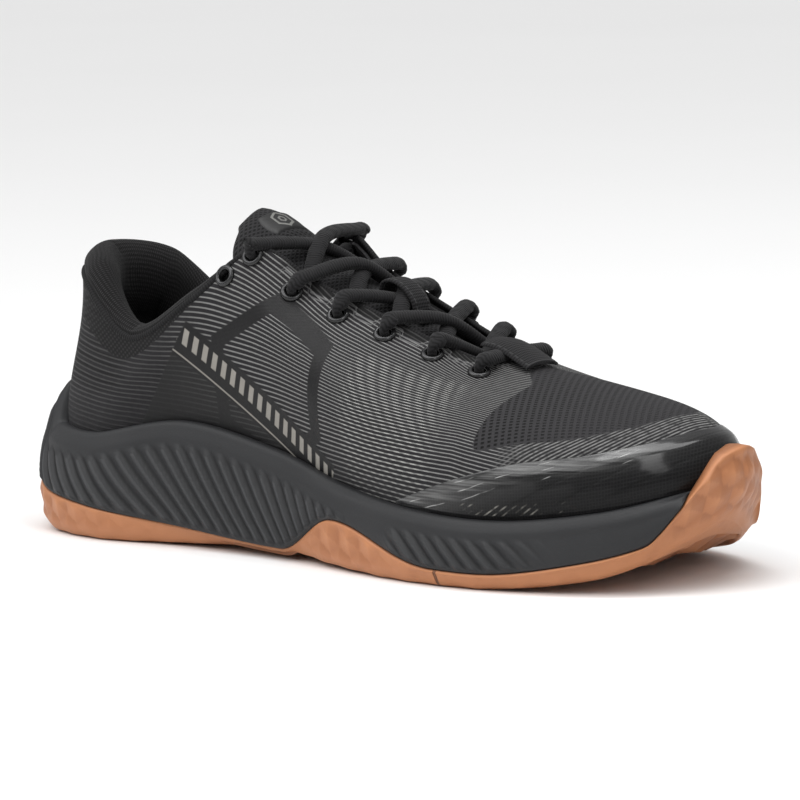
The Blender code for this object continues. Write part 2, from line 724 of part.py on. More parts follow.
def build_sole(rear, front, flex):
    """Outsole, midsole, insole board and insole, each in two lengths that meet at the flex line."""
    for place, keep, parent in (("rear", rear, None), ("front", front, flex)):
        layers = [
            stack(f"outsole_{place}", outsole_rings(), GUM, parent),
            stack(f"midsole_{place}", midsole_rings(), FOAM, parent),
            stack(f"insole_board_{place}", slab_rings(3.5, GAP, BOARD), BOARD_FIBRE, parent),
            stack(f"insole_{place}", slab_rings(5, 2 * GAP + BOARD, INSOLE), MESH, parent),
        ]
        for piece in layers:
            cut(piece, keep, "INTERSECT")


def build_shank(outsole):
    """Stiff plate in a pocket of the outsole, seen through a window of hexagons."""
    sweep("shank_plate", plate_sections(0, PLATE_LOW, PLATE_HIGH), CARBON)
    cut(outsole, as_cutter(sweep("shank_pocket", plate_sections(GAP, POCKET_FLOOR, 12))))
    c, s = circle_of(6)
    for k, (x, y) in enumerate(window_cells()):
        outline = np.stack([x + CELL_RADIUS * s, y + CELL_RADIUS * c], axis=1)
        cut(outsole, prism(f"window_cell_{k + 1}", outline, axis=2))


def build_collar():
    """Foam pad round the ankle and the mesh over it."""
    stations = stations_between(16.75, 23.25)
    sweep("collar_foam", pad_sections(stations), FOAM)
    sweep("collar_lining", lining_sections(stations), MESH)
    patch("heel_tape", np.linspace(-0.17, 0.17, 5), [0.72, 0.8, 0.9, 0.98], -GAP - 0.9, -GAP, LACE_CORD)


def build_tongue(hinge):
    """Tongue, and its free padded top with a blank badge, which fold on the hinge."""
    sweep("tongue", tongue_sections(TONGUE_ROWS, TONGUE_THICKNESS), MESH)
    sweep("tongue_top", tongue_sections(TONGUE_TOP_ROWS, TONGUE_TOP_THICKNESS), MESH, hinge)
    sweep("tongue_badge", badge_sections(), LABEL, hinge)
    over_tongue = [(x, tongue_shape(x)[0] + rise) for x, rise in LOOP_PATH]
    sweep("tongue_lace_loop", strap_sections(over_tongue, LOOP_WIDTH), LACE_CORD)


def build_front_upper(front, flex):
    """Vamp and toe cap share the upper's front: the cap lies below a line seen from the side."""
    below = [(CAP_LINE[0][0], -FAR), *CAP_LINE, (FAR, CAP_LINE[-1][1]), (FAR, -FAR)]
    grown = [(CAP_LINE[0][0] - GAP, -FAR)] + [(x - GAP * 0.6, z + GAP) for x, z in CAP_LINE]
    grown += [(FAR, CAP_LINE[-1][1] + GAP), (FAR, -FAR)]
    cut(upper_piece("toe_cap", OVERLAY, flex), prism("cap_region", below), "INTERSECT")
    vamp = upper_piece("vamp", MESH, flex)
    cut(vamp, front, "INTERSECT")
    cut(vamp, prism("around_cap", grown))


def build_stiffeners(flex):
    """Heel counter and toe puff, inside the outer layer."""
    counter, puff = UNDER_SHELL, UNDER_SHELL + 0.2
    back, toe = stations_between(17.75, 22.25), stations_between(8.75, 11.25)
    patch("heel_counter", back, [0.04, 0.12, 0.26, 0.42], counter, counter + COUNTER, STIFFENER)
    patch("toe_puff", toe, [0.06, 0.12, 0.26, 0.42], puff, puff + PUFF, STIFFENER, flex)


def build_quarters(rear):
    """Quarters with their eyelets and the reinforcement under them. Returns the eyelets' spots."""
    quarters = upper_piece("quarters", MESH)
    cut(quarters, rear, "INTERSECT")
    spots = {}
    for side, word in ((1, "medial"), (-1, "lateral")):
        spots[side] = [Spot(side, place) for place in EYELET_PLACES]
        along = stations_between(3.75, 8) if side > 0 else stations_between(12, 16.25)
        deep = UNDER_SHELL + STAY
        stay = patch(f"eyestay_{word}", along, [0.79, 0.88, 0.985], UNDER_SHELL, deep, MESH)
        for k, spot in enumerate(spots[side]):
            name, radius = f"{word}_{k + 1}", EYELET_BARREL + GAP
            eyelet(f"eyelet_{name}", spot)
            hole = rod(f"eyelet_hole_{name}", spot.point(-6), spot.point(3), radius, EYELET_SIDES)
            for holed in (quarters, stay):
                cut(holed, as_cutter(hole))
    return spots


def build_lace(spots):
    """The lace with a tip at each end, and the tab over its first row."""
    rows = lace_rows(spots)
    sweep("lace", cord_sections(rows), LACE_CORD)
    for word, tip, before in (("medial", rows[0], rows[1]), ("lateral", rows[-1], rows[-2])):
        end, back = np.array(tip[:3]), np.array(before[:3])
        along = (end - back) / np.linalg.norm(end - back)
        start, stop = end + along * GAP, end + along * (GAP + AGLET_LENGTH)
        rod(f"aglet_{word}", start, stop, AGLET_RADIUS, 12, GLOSS_BLACK)
    sweep("throat_tab", strap_sections(TAB_PATH, TAB_WIDTH), LACE_CORD)


remove_everything()
toe_flex = pivot("toe_flex_axis", (FLEX_X, 0, FLEX_Z))
tongue_flap = pivot("tongue_flap_axis", TONGUE_PIVOT)
rear_region = region("rear_region", -FAR, FLEX_X - GAP / 2)
front_region = region("front_region", FLEX_X + GAP / 2, FAR)
build_sole(rear_region, front_region, toe_flex)
build_shank(bpy.data.objects["outsole_rear"])
build_collar()
build_tongue(tongue_flap)
build_front_upper(front_region, toe_flex)
build_stiffeners(toe_flex)
build_lace(build_quarters(rear_region))
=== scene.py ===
"""Looks of the court shoe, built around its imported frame.

Frame: +X runs from heel to toe, +Y to the medial side, +Z up, with the origin on the ground under the
centre of the heel. Sizes below are in millimetres, and new_piece() turns them into metres.
"""

import math

import bmesh
import bpy
import numpy as np
from mathutils import Matrix


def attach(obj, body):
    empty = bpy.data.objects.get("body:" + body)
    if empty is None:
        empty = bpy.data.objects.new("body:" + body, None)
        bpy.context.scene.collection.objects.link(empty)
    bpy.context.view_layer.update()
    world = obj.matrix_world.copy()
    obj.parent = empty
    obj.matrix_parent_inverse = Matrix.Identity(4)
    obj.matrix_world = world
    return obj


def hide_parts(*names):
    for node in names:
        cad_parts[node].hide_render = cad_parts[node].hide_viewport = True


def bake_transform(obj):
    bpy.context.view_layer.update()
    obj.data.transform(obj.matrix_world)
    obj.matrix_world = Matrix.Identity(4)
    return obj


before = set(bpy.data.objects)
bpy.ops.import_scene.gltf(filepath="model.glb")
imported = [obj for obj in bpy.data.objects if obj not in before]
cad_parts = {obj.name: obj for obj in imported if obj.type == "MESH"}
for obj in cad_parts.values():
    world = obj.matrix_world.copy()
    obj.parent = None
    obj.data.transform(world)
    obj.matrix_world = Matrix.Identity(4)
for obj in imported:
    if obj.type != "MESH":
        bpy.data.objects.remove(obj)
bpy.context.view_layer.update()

MM = 0.001
GAP = 0.35  # clearance between neighbouring pieces of the frame
PLATE = 4.0
SHELL = 1.6  # thickness of the upper's outer layer
FLAT_MARGIN = 0.25
FLEX_X = 168.0  # line of the toe joints

# The shoe is described at 20 stations around its outline: 0 at the back of the heel, 1 to 9 along the
# medial side, 10 at the toe, and 11 to 19 back along the lateral side. Station k faces station 20 - k.
STATIONS = 20


def around_shoe(heel, medial, toe, lateral=None):
    """Values at the 20 stations. The lists run from heel to toe, and one list can serve both sides."""
    lateral = medial if lateral is None else lateral
    return np.array([heel, *medial, toe, *reversed(lateral)], float)


# Widest outline in plan, as distance forward and to the side.
OUTLINE = around_shoe(
    (-49, 0),
    [(-37, 30), (-4, 42), (36, 38), (78, 35), (118, 43), (156, 54), (192, 57), (221, 47), (243, 28.5)],
    (257.5, 4),
    [(-37, -30), (-4, -42.5), (36, -40), (78, -41), (118, -49), (156, -56), (192, -54), (227, -42), (250, -20.5)],
)
# Height of the tread's edge above the ground: the waist is arched and the toe springs up.
GROUND = around_shoe(0, [0, 0, 1.2, 3, 1.5, 0, 0.8, 5.5, 13], 17, [0, 0, 1.2, 3, 1, 0, 0.8, 5.5, 13])
# How far the gum stands inside the widest outline: it is cut in at the medial arch.
GUM_INSET = around_shoe(0, [0, 0, 4, 11, 5, 0, 0, 0, 0], 0, [0, 0, 1.5, 2.5, 0, 0, 0, 0, 0])
GUM_TOP = around_shoe(20, [16, 12, 8, 8, 8, 6, 6, 12, 18], 24, [16, 12, 8, 4.5, 5.5, 6, 6, 12, 18])
GUM_TOP_INSET = around_shoe(0.4, [0.4] * 8 + [2.5], 3.5)
ARCH_LIFT = around_shoe(0, [0, 0, 4, 9, 5, 0, 0, 0, 0], 0, [0] * 9)
MIDSOLE_TOP = around_shoe(39, [38.5, 38, 44.5, 38, 29, 24.5, 23.5, 27.5, 32], 34)
RIM_INSET = around_shoe(8, [7, 5, 5, 5, 4, 3.5, 3.5, 3.5, 5.4], 6.5)
RIM = around_shoe(2.6, [2.6] * 7 + [2.2, 1.5], 1.2)  # thickness of the lip
EDGE_ROUNDING = around_shoe(1, [1] * 7 + [1.3, 1.9], 2.2)
BED_TOP = around_shoe(22, [22, 22, 21, 18.5, 15.5, 13.5, 13.5, 16, 21.5], 25)
BED_INSET = around_shoe(9.5, [8.5] + [8] * 8, 9)

# Edge of the quarters: topline round the ankle, then the throat down to the vamp.
MEDIAL_EDGE = [
    (-17, 25, 90),
    (12, 34, 72.5),
    (43, 35.5, 88),
    (66, 26, 106.5),
    (88, 20.5, 95.5),
    (112, 18, 86.5),
    (136, 15, 77.5),
    (154, 11.5, 71.5),
    (162, 6, 70.5),
]
EDGE = around_shoe((-34, 0, 94), MEDIAL_EDGE, (163, 0, 71), [(x, -y, z) for x, y, z in MEDIAL_EDGE])
# Lean of the upper where it leaves the sole (outward per unit of height), and its slope at the edge, in
# degrees from the vertical towards the middle of the shoe.
FLARE = around_shoe(0.0, [0.05, 0.05, 0.1, 0.2, 0.3, 0.3, 0.25, 0.2, 0.12], 0.08)
ROOF = around_shoe(-4, [0, 4, 8, 42, 50, 54, 58, 64, 68], 69)
FULLNESS_LOW = around_shoe(0.35, [0.35, 0.35, 0.35, 0.38, 0.4, 0.4, 0.38, 0.34, 0.33], 0.34)
FULLNESS_HIGH = around_shoe(0.35, [0.35, 0.35, 0.35, 0.3, 0.32, 0.34, 0.36, 0.38, 0.42], 0.44)

# Outrigger: the gum rises to a peak on the lateral side, ahead of the waist.
OUTRIGGER_START, OUTRIGGER_PEAK, OUTRIGGER_END = 85.0, 115.0, 166.0
OUTRIGGER_RISE = 12.0
OUTRIGGER_CLEARANCE = 1.1  # extra room along the outrigger's rising edge, which is near station 15.5
# Toe bumper: the gum climbs over the toe. Its half width and the width of its slope are in stations.
BUMPER_REACH, BUMPER_SLOPE, BUMPER_RISE = 1.55, 1.1, 23.5
BUMPER_CLEARANCE = 0.8  # extra room along the bumper's steep edge
# Heel clip: the midsole climbs up the back of the heel.
CLIP_REACH, CLIP_SLOPE, CLIP_RISE, CLIP_LEAN = 1.08, 0.32, 14.5, 3.5
CLIP_CLEARANCE = 0.6  # extra room inside the clip


def at(values, t):
    """Smooth closed curve through one value per station, at positions t counted in stations."""
    t = np.asarray(t, float)
    i = np.floor(t).astype(int)
    f = t - i
    if values.ndim > 1:
        f = f[..., None]
    a, b, c, d = (values[(i + k) % len(values)] for k in (-1, 0, 1, 2))
    return b + 0.5 * f * (c - a + f * (2 * a - 5 * b + 4 * c - d + f * (3 * (b - c) + d - a)))


def inward(t):
    """Unit vectors in plan that point from the outline at t towards the middle of the shoe."""
    step = at(OUTLINE, np.asarray(t) + 0.02) - at(OUTLINE, np.asarray(t) - 0.02)
    turned = np.stack([step[..., 1], -step[..., 0]], axis=-1)
    return turned / np.linalg.norm(turned, axis=-1, keepdims=True)


def level(t, inset, height):
    """Points at the given inset from the widest outline and at the given height."""
    t = np.asarray(t, float)
    plan = at(OUTLINE, t) + inward(t) * np.broadcast_to(inset, t.shape)[..., None]
    return np.concatenate([plan, np.broadcast_to(height, t.shape)[..., None]], axis=-1)


def smooth_step(x):
    """0 below 0, 1 above 1, with a smooth rise between."""
    x = np.clip(x, 0, 1)
    return x * x * (3 - 2 * x)


def near(t, station, reach, slope):
    """1 close to a station, falling smoothly to 0 at reach stations from it."""
    away = np.abs((np.asarray(t, float) - station + STATIONS / 2) % STATIONS - STATIONS / 2)
    return smooth_step((reach - away) / slope)


def clip_room(t):
    """Clearance between the midsole's lip and the upper."""
    return GAP + CLIP_CLEARANCE * near(t, 0, 1.7, 0.5)


def gum_top(t):
    """Height of the gum's upper edge, with the outrigger's peak on the lateral side."""
    x = at(OUTLINE, t)[..., 0]
    rising = np.clip((x - OUTRIGGER_START) / (OUTRIGGER_PEAK - OUTRIGGER_START), 0, 1)
    falling = np.clip((OUTRIGGER_END - x) / (OUTRIGGER_END - OUTRIGGER_PEAK), 0, 1)
    peak = smooth_step(rising) * smooth_step(falling) * (np.asarray(t) % STATIONS > STATIONS / 2)
    return at(GUM_TOP, t) + OUTRIGGER_RISE * peak + BUMPER_RISE * near(t, 10, BUMPER_REACH, BUMPER_SLOPE)


def midsole_top(t):
    """Height of the midsole's lip, with the clip at the back of the heel."""
    return at(MIDSOLE_TOP, t) + CLIP_RISE * near(t, 0, CLIP_REACH, CLIP_SLOPE)


def rim_inset(t):
    """How far the midsole's lip stands inside the widest outline."""
    return at(RIM_INSET, t) + CLIP_LEAN * near(t, 0, CLIP_REACH, CLIP_SLOPE)


def upper_ray(t):
    """The four Bezier control points of the upper's outer surface, from the midsole lip to its edge."""
    t = np.asarray(t, float)
    foot = level(t, rim_inset(t) + at(RIM, t) + clip_room(t), midsole_top(t))
    edge = at(EDGE, t)
    inside = np.concatenate([inward(t), np.zeros(t.shape + (1,))], axis=-1)
    up = np.array([0.0, 0.0, 1.0])
    leaving = up - inside * at(FLARE, t)[..., None]
    leaving /= np.linalg.norm(leaving, axis=-1, keepdims=True)
    roof = np.radians(at(ROOF, t))[..., None]
    arriving = inside * np.sin(roof) + up * np.cos(roof)
    reach = np.linalg.norm(edge - foot, axis=-1)[..., None]
    low = foot + leaving * reach * at(FULLNESS_LOW, t)[..., None]
    high = edge - arriving * reach * at(FULLNESS_HIGH, t)[..., None]
    return foot, low, high, edge


def upper(t, v):
    """The upper's outer surface: t in stations, v from 0 at the midsole lip to 1 at the edge."""
    foot, low, high, edge = upper_ray(t)
    v = np.asarray(v, float)[..., None]
    w = 1 - v
    return w**3 * foot + 3 * w**2 * v * low + 3 * w * v**2 * high + v**3 * edge


def upper_normal(t, v):
    """Outward unit normals of the upper's outer surface."""
    t, v = np.broadcast_arrays(np.asarray(t, float), np.asarray(v, float))
    along = upper(t + 0.02, v) - upper(t - 0.02, v)
    across = upper(t, np.minimum(v + 0.01, 1)) - upper(t, np.maximum(v - 0.01, 0))
    normal = np.cross(across, along)
    return normal / np.linalg.norm(normal, axis=-1, keepdims=True)

def ground_height(t):
    """Height of the tread's edge, flat on the ground under the heel and the ball of the foot."""
    return np.maximum(at(GROUND, t) - FLAT_MARGIN, 0)


def gum_lean(t):
    """Inset of the gum's upper edge."""
    return at(GUM_INSET, t) + at(GUM_TOP_INSET, t)


def layer(t, v, depth):
    """Points at a depth under the upper's outer surface."""
    t, v = np.broadcast_arrays(np.asarray(t, float), np.asarray(v, float))
    return upper(t, v) - upper_normal(t, v) * np.broadcast_to(depth, t.shape)[..., None]


def place_on_upper(x, y):
    """Station and height of the point of the upper straight above a point in plan, by Newton's method."""
    guess = np.array([14.0 if y < 0 else 6.0, 0.9])
    step = 1e-3
    for _ in range(30):
        here = upper(guess[0], guess[1])[:2]
        by_station = (upper(guess[0] + step, guess[1])[:2] - here) / step
        by_height = (upper(guess[0], guess[1] + step)[:2] - here) / step
        slope = np.stack([by_station, by_height], axis=1)
        guess = guess + np.clip(np.linalg.solve(slope, np.array([x, y]) - here), -0.3, 0.3)
    return guess


# Eyelets: seven a side, as distances forward and out from the middle. The seventh is spare.
EYELET_PLACES = [(158.5, 18.2), (140, 20.6), (121, 23), (102, 25.2), (83, 27.4), (66, 28), (56.5, 32)]

# Tongue: distance forward, height of its ridge, half width and drop at its sides, from base to top.
TONGUE_ROWS = [
    (162, 61, 11, 4),
    (150, 67, 15, 8),
    (130, 77, 18, 10),
    (110, 86, 20, 12),
    (90, 95.5, 22, 14),
    (76, 102, 23, 14),
    (64, 107.5, 24, 14),
]
TONGUE_TOP_ROWS = [(61.5, 109.5, 24, 14), (56, 112.5, 24, 13), (50, 115.5, 20, 9), (47, 116.5, 14, 4)]

LACED = 6  # eyelets in use on each side
LACE_WIDTH, LACE_THICKNESS, LACE_IN_HOLE = 4.4, 1.8, 2.4
LACE_DEPTH = 5.0  # how far under the quarters the lace runs
LACE_OVER = 3.1  # how far above the quarters it runs
LACE_REST = 1.7  # clearance between the lace and the tongue
LACE_LIFT = 3.0  # how far one half runs over the other where they cross
FIRST_ROW_HEIGHT = 72.9
TUCK_DEPTH, TUCK_STEP = 5.6, 0.1  # the ends' depth under the quarters, and their steps down the side
THROAT_LINE = np.array([1.0, 0.0, -0.42])  # direction of the throat, which the lace's width keeps to


class Number:
    """A value that a material works out at each point, so that formulas read as ordinary arithmetic."""

    def __init__(self, tree, socket):
        self.tree = tree
        self.socket = socket

    def math(self, operation, *others):
        node = self.tree.nodes.new("ShaderNodeMath")
        node.operation = operation
        for place, value in zip(node.inputs, (self, *others)):
            plug(self.tree, value, place)
        return Number(self.tree, node.outputs[0])

    def __add__(self, other):
        return self.math("ADD", other)

    def __sub__(self, other):
        return self.math("SUBTRACT", other)

    def __rsub__(self, other):
        return self.math("MULTIPLY_ADD", -1.0, other)

    def __mul__(self, other):
        return self.math("MULTIPLY", other)

    def __truediv__(self, other):
        return self.math("DIVIDE", other)

    __radd__ = __add__
    __rmul__ = __mul__

    def size(self):
        return self.math("ABSOLUTE")

    def fraction(self):
        return self.math("FRACT")

    def sine(self, pitch=1.0):
        """Sine wave between -1 and 1 that repeats at the given pitch."""
        return (self * (2 * math.pi / pitch)).math("SINE")

    def least(self, other):
        return self.math("MINIMUM", other)

    def most(self, other):
        return self.math("MAXIMUM", other)

    def rise(self, low, high):
        """0 at low, 1 at high and a smooth step between. It falls instead where low is above high."""
        node = self.tree.nodes.new("ShaderNodeMapRange")
        node.interpolation_type = "SMOOTHSTEP"
        for place, value in zip(node.inputs, (self, low, high)):
            plug(self.tree, value, place)
        return Number(self.tree, node.outputs[0])

    def line(self, pitch, share, soft=0.12):
        """1 on lines that repeat at the given pitch and take up the given share of it, 0 between them."""
        away = ((self / pitch).fraction() - 0.5).size() * 2.0
        return away.rise(share + soft, share - soft)


def plug(tree, value, place):
    """Puts a number, a colour or the outcome of another node into a node's input."""
    if isinstance(value, Number):
        tree.links.new(value.socket, place)
    elif isinstance(value, tuple):
        place.default_value = (*value, 1.0) if len(place.default_value) > len(value) else value
    else:
        place.default_value = value


def mixed(first, second, share):
    """The colour between two colours."""
    node = share.tree.nodes.new("ShaderNodeMix")
    node.data_type = "RGBA"
    for place, value in ((0, share), (6, first), (7, second)):
        plug(share.tree, value, node.inputs[place])
    return Number(share.tree, node.outputs[2])


class Look:
    """A material in the making. Its coordinates are in millimetres, and they follow the piece as it bends."""

    def __init__(self, name, has_rest=True):
        self.material = bpy.data.materials.new(name)
        self.material.use_nodes = True
        self.tree = self.material.node_tree
        self.shader = self.tree.nodes["Principled BSDF"]
        if has_rest:
            node = self.tree.nodes.new("ShaderNodeAttribute")
            node.attribute_name = "rest"
            self.point = node.outputs["Vector"]
            return
        coordinates = self.tree.nodes.new("ShaderNodeTexCoord")
        larger = self.tree.nodes.new("ShaderNodeVectorMath")
        larger.operation = "SCALE"
        larger.inputs["Scale"].default_value = 1 / MM
        self.tree.links.new(coordinates.outputs["Object"], larger.inputs[0])
        self.point = larger.outputs[0]

    def field(self, name):
        """A value that the piece's mesh holds at its points."""
        node = self.tree.nodes.new("ShaderNodeAttribute")
        node.attribute_name = name
        return Number(self.tree, node.outputs["Fac"])

    def coordinates(self):
        node = self.tree.nodes.new("ShaderNodeSeparateXYZ")
        self.tree.links.new(self.point, node.inputs[0])
        return [Number(self.tree, socket) for socket in node.outputs]

    def noise(self, size, detail=2.0, stretch=(1.0, 1.0, 1.0)):
        """Soft noise around 0.5, with patches of about the given size."""
        scale = self.tree.nodes.new("ShaderNodeVectorMath")
        scale.operation = "MULTIPLY"
        scale.inputs[1].default_value = tuple(1 / (size * s) for s in stretch)
        self.tree.links.new(self.point, scale.inputs[0])
        node = self.tree.nodes.new("ShaderNodeTexNoise")
        node.inputs["Scale"].default_value = 1.0
        node.inputs["Detail"].default_value = detail
        self.tree.links.new(scale.outputs[0], node.inputs["Vector"])
        return Number(self.tree, node.outputs[0])

    def finish(self, colour, roughness, height=None, **others):
        """Colour, roughness and bump height in millimetres, with other inputs of the shader by name."""
        inputs = self.shader.inputs
        plug(self.tree, colour, inputs["Base Color"])
        plug(self.tree, roughness, inputs["Roughness"])
        if height is not None:
            bump = self.tree.nodes.new("ShaderNodeBump")
            bump.inputs["Distance"].default_value = MM
            plug(self.tree, height, bump.inputs["Height"])
            self.tree.links.new(bump.outputs[0], inputs["Normal"])
        for name, value in others.items():
            plug(self.tree, value, inputs[name.replace("_", " ")])
        return self.material


def keep_field(mesh, name, values):
    values = np.asarray(values, np.float32)
    kind = "FLOAT_VECTOR" if values.ndim > 1 else "FLOAT"
    field = mesh.attributes.new(name, kind, "POINT")
    field.data.foreach_set("vector" if values.ndim > 1 else "value", values.ravel())


def new_piece(name, points, faces, look, body, replaced=(), fields=None):
    """A mesh from points in millimetres. It rides on one body when given one, and otherwise stays where it is, on no
    body.
    """
    points = np.asarray(points, float).reshape(-1, 3)
    mesh = bpy.data.meshes.new(name)
    mesh.from_pydata((points * MM).tolist(), [], [tuple(face) for face in faces])
    keep_field(mesh, "rest", points)
    for field, values in (fields or {}).items():
        keep_field(mesh, field, np.broadcast_to(values, len(points)) if np.ndim(values) < 2 else np.ravel(values))
    shaped = bmesh.new()
    shaped.from_mesh(mesh)
    bmesh.ops.remove_doubles(shaped, verts=shaped.verts, dist=1e-6)
    bmesh.ops.recalc_face_normals(shaped, faces=shaped.faces)
    shaped.to_mesh(mesh)
    shaped.free()
    mesh.shade_smooth()
    mesh.materials.append(look)
    piece = bpy.data.objects.new(name, mesh)
    bpy.context.scene.collection.objects.link(piece)
    if isinstance(body, str):
        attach(piece, body)
    else:
        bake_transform(piece)
    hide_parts(*replaced)
    return piece


def grid_faces(count, width, across=False, along=False):
    """Quads between the points of a grid, numbered row by row. It can close on itself either way."""
    i, j = np.meshgrid(
        np.arange(count if along else count - 1),
        np.arange(width if across else width - 1),
        indexing="ij",
    )
    a = i * width
    b = (i + 1) % count * width
    k = (j + 1) % width
    return np.stack([a + j, a + k, b + k, b + j], axis=-1).reshape(-1, 4)


def capped(count, width):
    """Faces of a tube of closed sections, with flat ends."""
    faces = grid_faces(count, width, across=True).tolist()
    return faces + [list(range(width)), [(count - 1) * width + k for k in range(width)]]


def distances(points):
    """Distance along each row of points."""
    steps = np.linalg.norm(np.diff(points, axis=1), axis=-1)
    return np.concatenate([np.zeros((len(points), 1)), np.cumsum(steps, axis=1)], axis=1)


def curve_through(rows, samples):
    """Catmull-Rom curve through rows of values, with a number of samples in each span."""
    rows = np.array(rows, float)
    ends = np.concatenate([[2 * rows[0] - rows[1]], rows, [2 * rows[-1] - rows[-2]]])
    f = (np.arange(samples) / samples).reshape((-1,) + (1,) * (rows.ndim - 1))
    spans = []
    for a, b, c, d in zip(ends, ends[1:], ends[2:], ends[3:]):
        spans.append(b + 0.5 * f * (c - a + f * (2 * a - 5 * b + 4 * c - d + f * (3 * (b - c) + d - a))))
    return np.concatenate(spans + [rows[-1:]])


def unit(vectors):
    return vectors / np.linalg.norm(vectors, axis=-1, keepdims=True)


def dense_stations(count):
    return np.arange(count) * STATIONS / count


# Colours of the materials, as linear red, green and blue.
CHARCOAL = (0.0105, 0.01, 0.011)
DEEP_BLACK = (0.0025, 0.0025, 0.0025)
PALE_GREY = (0.2, 0.2, 0.195)
WARM_GREY = (0.27, 0.255, 0.23)

STRIPE_PITCH = 1.85
# The side mark, seen from the side: a plain hexagon ring, a row of slanted bars and a thin line.
RING_CENTRE, RING_RADIUS, RING_BAND = (80.0, 60.0), 25.0, 5.8
BARS_START, BARS_END, BARS_HALF, BARS_PITCH = (38.5, 76.0), (110.0, 31.0), 2.9, 4.9
LINE_BELOW = 7.0  # how far the thin line runs below the middle of the bars


def upper_look():
    """Knitted fabric: raised pale stripes on charcoal, an open mesh over the toes and a printed side mark."""
    look = Look("striped_knit")
    x, y, z = look.coordinates()
    stripe = look.field("stripe")
    wander = look.noise(14.0) - 0.5
    lines = (stripe + wander * 0.5).line(STRIPE_PITCH, 0.31)
    lateral = y.rise(-6.0, -12.0)

    # Hexagon ring: the largest of three distances across its flats.
    dx, dz = x - RING_CENTRE[0], z - RING_CENTRE[1]
    slanted = dx.size() * 0.5 + dz.size() * 0.866
    away = (dx.size().most(slanted) - RING_RADIUS).size()
    ring = away.rise(RING_BAND / 2 + 0.4, RING_BAND / 2 - 0.4) * lateral

    # Bars along a falling diagonal. A band on either side of them has no stripes.
    run = np.array(BARS_END) - BARS_START
    length = float(np.hypot(*run))
    ux, uz = (float(part) for part in run / length)
    along = (x - BARS_START[0]) * ux + (z - BARS_START[1]) * uz
    across = (z - BARS_START[1]) * ux - (x - BARS_START[0]) * uz
    within = along.rise(-1.0, 0.0) * along.rise(length + 1.0, length)
    bars = (along + across * 0.25).line(BARS_PITCH, 0.5, 0.08)
    bars = bars * across.size().rise(BARS_HALF + 0.25, BARS_HALF - 0.25) * within * lateral
    band = (across + 1.5).size().rise(7.5, 6.5) * within * lateral
    thin = (across + LINE_BELOW).size().rise(0.45, 0.2) * within * lateral
    below = across.rise(-LINE_BELOW + 0.5, -LINE_BELOW - 0.5) * within * lateral

    bright = look.field("bright")
    mesh_zone = look.field("mesh_zone").rise(-0.4, 0.4)
    mark = ring.most(band).most(below)
    cuff = look.field("cuff").rise(-0.3, 0.3)
    plain = (1.0 - mark.most(cuff)) * (1.0 - mesh_zone)
    under_line = below * (1.0 - ring) * (1.0 - band) * (1.0 - mesh_zone)
    dashes = (x * 0.75 + z * 0.66).line(3.1, 0.55, 0.3) * look.field("dashed")
    ribs = look.field("heel")
    dots = (stripe.sine(1.9) * (x + y).sine(1.9)).rise(-0.1, 0.7)
    hatched = look.field("hatched")
    shown = lines * (plain + under_line * 0.22) * bright * (1.0 - hatched)
    strokes = (look.field("above_film") * 0.85 - x * 0.53).line(1.7, 0.38, 0.25) * hatched

    # Open mesh: dark square holes in rows, with painted shade in them that is deepest towards the back and the bottom.
    a, b = look.field("mesh_a"), look.field("mesh_b")
    holes = (a.line(2.3, 0.46, 0.2) * b.line(1.85, 0.5, 0.2)) * mesh_zone
    deep_holes = holes * look.field("hole_depth")

    # A double pale line in steps along the eyelets, with a dark edge.
    trim = look.field("trim")
    double = (trim.size() - 0.75).size().rise(0.42, 0.18) * look.field("trimmed")
    dark_edge = trim.rise(-1.2, -1.9) * look.field("trimmed")

    cloth = look.noise(2.4, 4.0)
    base = mixed(CHARCOAL, (0.019, 0.018, 0.02), cloth)
    base = mixed(base, (0.005, 0.0048, 0.005), mark * 0.8)
    base = mixed(base, (0.005, 0.0045, 0.005), ribs * stripe.line(3.3, 0.5, 0.3) * 0.8)
    base = mixed(base, (0.03, 0.029, 0.031), mesh_zone * 0.75)
    base = mixed(base, (0.006, 0.0058, 0.006), cuff)
    base = mixed(base, (0.028, 0.027, 0.028), cuff * dots * 0.7)
    # Painted shade in the mesh's holes.
    base = mixed(base, DEEP_BLACK, deep_holes)
    base = mixed(base, PALE_GREY, shown * (0.66 + cloth * 0.5))
    base = mixed(base, (0.36, 0.36, 0.345), shown * dashes * 0.8)
    base = mixed(base, PALE_GREY, strokes * cloth.rise(0.2, 0.6))
    base = mixed(base, DEEP_BLACK, dark_edge * 0.85)
    base = mixed(base, (0.13, 0.13, 0.13), double * 0.85)
    base = mixed(base, WARM_GREY, bars * (0.86 + cloth * 0.2))
    base = mixed(base, WARM_GREY, thin * 0.8)
    base = mixed(base, (0.008, 0.0076, 0.008), look.field("inner"))
    weave = (x + z).sine(0.9) * (x - z).sine(0.9) * 0.03
    height = lines * plain * 0.16 + ribs * stripe.line(3.3, 0.5, 0.5) * 0.35 - holes * 0.35
    height = height + weave + double * 0.15 + bars * 0.12 + mark * 0.06 + cloth * 0.08
    roughness = 0.8 - mark * 0.42 + bars * 0.1 - shown * 0.18
    return look.finish(base, roughness, height, Sheen_Weight=0.02, Specular_IOR_Level=0.2)


